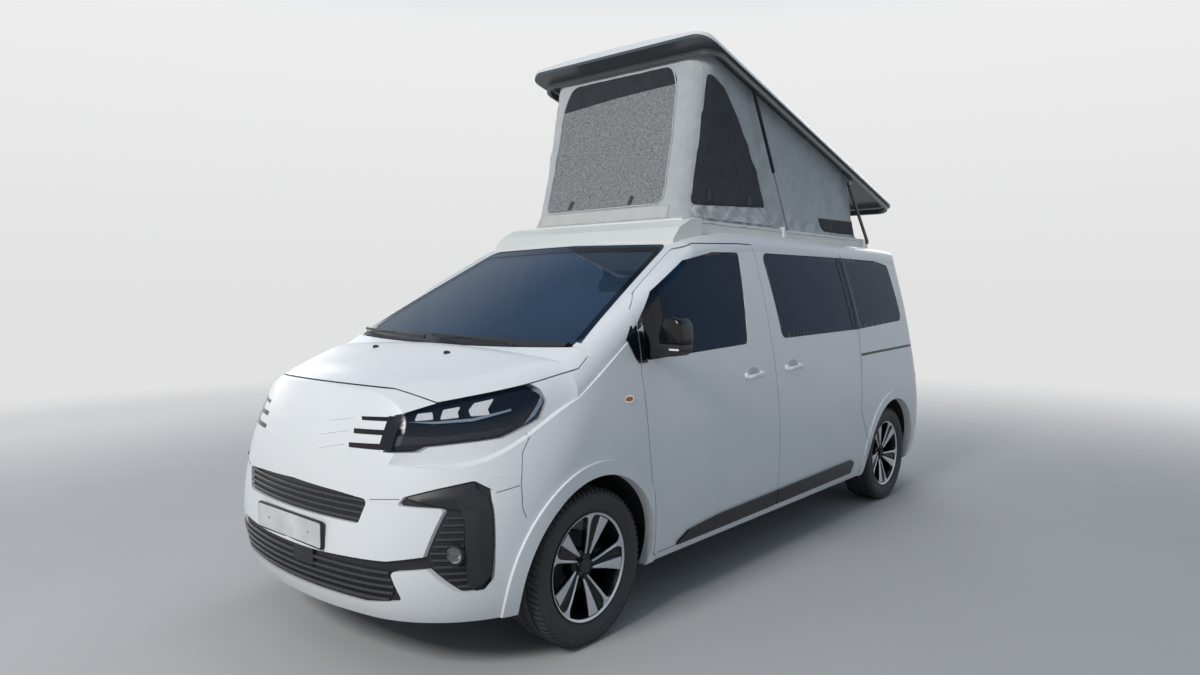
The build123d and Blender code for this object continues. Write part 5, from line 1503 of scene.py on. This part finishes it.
# floor, sky and lamps; each lamp has its place, target, size, power and colour
studio = {"floor": 0.52, "floorHalf": 60.0, "fade": (3.4, 11.0), "sky": (0.66, 0.81, 1.0),
          "skyStrength": 0.31,
          "seen": [(0.0, (0.76, 0.76, 0.765)), (0.30, (0.85, 0.85, 0.85)), (0.42, (0.62, 0.70, 0.80)),
                   (0.62, (0.17, 0.28, 0.46)), (1.0, (0.10, 0.18, 0.34))],
          "lamps": [("keyLight", (9.2, 1.1, 6.3), (0.6, 0, 1.0), (2.2, 2.2), 550.0, (1.0, 0.985, 0.955)),
                    ("topLight", (-1.5, 0.0, 8.0), (-1.0, 0, 1), (6.0, 4.0), 90.0, (1, 1, 1)),
                    ("sideFill", (-1.0, 8.5, 2.6), (-0.4, 0, 0.9), (7.0, 2.6), 12.0, (0.80, 0.90, 1.0)),
                    ("backFill", (-8.0, -2.5, 4.5), (-1.0, 0, 1.0), (5.0, 3.0), 150.0, (1, 1, 1)),
                    ("farFill", (1.0, -8.0, 3.0), (0, 0, 1.0), (6.0, 3.0), 120.0, (1, 1, 1))]}


# the floor fades out with distance, so that it meets the backdrop without an edge
def addStage():
    mesh = bpy.data.meshes.new("studioFloor")
    h = studio["floorHalf"]
    mesh.from_pydata([(-h, -h, 0), (h, -h, 0), (h, h, 0), (-h, h, 0)], [], [(0, 1, 2, 3)])
    floor = addObject("studioFloor", mesh)
    mat, tree, shader = newMaterial("studioGrey", Roughness=0.9, Specular_IOR_Level=0.1)
    rampTo(tree, noiseOn(tree, scale=1.2), shader.inputs["Base Color"],
           [(0.3, grey(studio["floor"] * 0.97)), (0.7, grey(studio["floor"]))])
    coords = addNode(tree, "ShaderNodeTexCoord")
    reach = addNode(tree, "ShaderNodeVectorMath", operation="LENGTH")
    near, far = studio["fade"]
    reaches = {"From Min": near, "From Max": far, "To Min": 1.0, "To Max": 0.0}
    fade = addNode(tree, "ShaderNodeMapRange", reaches, interpolation_type="SMOOTHSTEP")
    wire(tree, (coords.outputs["Object"], reach.inputs[0]), (reach.outputs["Value"], fade.inputs["Value"]),
         (fade.outputs["Result"], shader.inputs["Alpha"]))
    mesh.materials.append(mat)


def addLamp(name, place, target, size, power, color):
    data = bpy.data.lights.new(name, "AREA")
    data.shape = "RECTANGLE"
    data.size, data.size_y = size
    data.energy = power
    data.color = color
    aim(addObject(name, data), place, Vector(target) - Vector(place))


# the backdrop's ramp is for what is seen, mirrored or looked through; a plain sky lights the rest
def addSky():
    world = bpy.data.worlds.new("studioSky")
    world.use_nodes = True
    scene.world = world
    tree = world.node_tree
    lit = tree.nodes["Background"]
    lit.inputs["Color"].default_value = opaque(studio["sky"])
    lit.inputs["Strength"].default_value = studio["skyStrength"]
    seen = addNode(tree, "ShaderNodeBackground")
    coords = addNode(tree, "ShaderNodeTexCoord")
    split = addNode(tree, "ShaderNodeSeparateXYZ")
    path = addNode(tree, "ShaderNodeLightPath").outputs
    mix = addNode(tree, "ShaderNodeMixShader")
    shown = mathOn(tree, "MAXIMUM", path["Is Camera Ray"], path["Is Glossy Ray"])
    shown = mathOn(tree, "MAXIMUM", shown, path["Is Transmission Ray"])
    stops = [(level, opaque(color)) for level, color in studio["seen"]]
    rampTo(tree, split.outputs["Z"], seen.inputs["Color"], stops)
    wire(tree, (coords.outputs["Generated"], split.inputs["Vector"]), (shown, mix.inputs["Fac"]),
         (lit.outputs["Background"], mix.inputs[1]), (seen.outputs["Background"], mix.inputs[2]),
         (mix.outputs["Shader"], tree.nodes["World Output"].inputs["Surface"]))


addStage()
for lamp in studio["lamps"]:
    addLamp(*lamp)
addSky()
print("stage: floor and light")
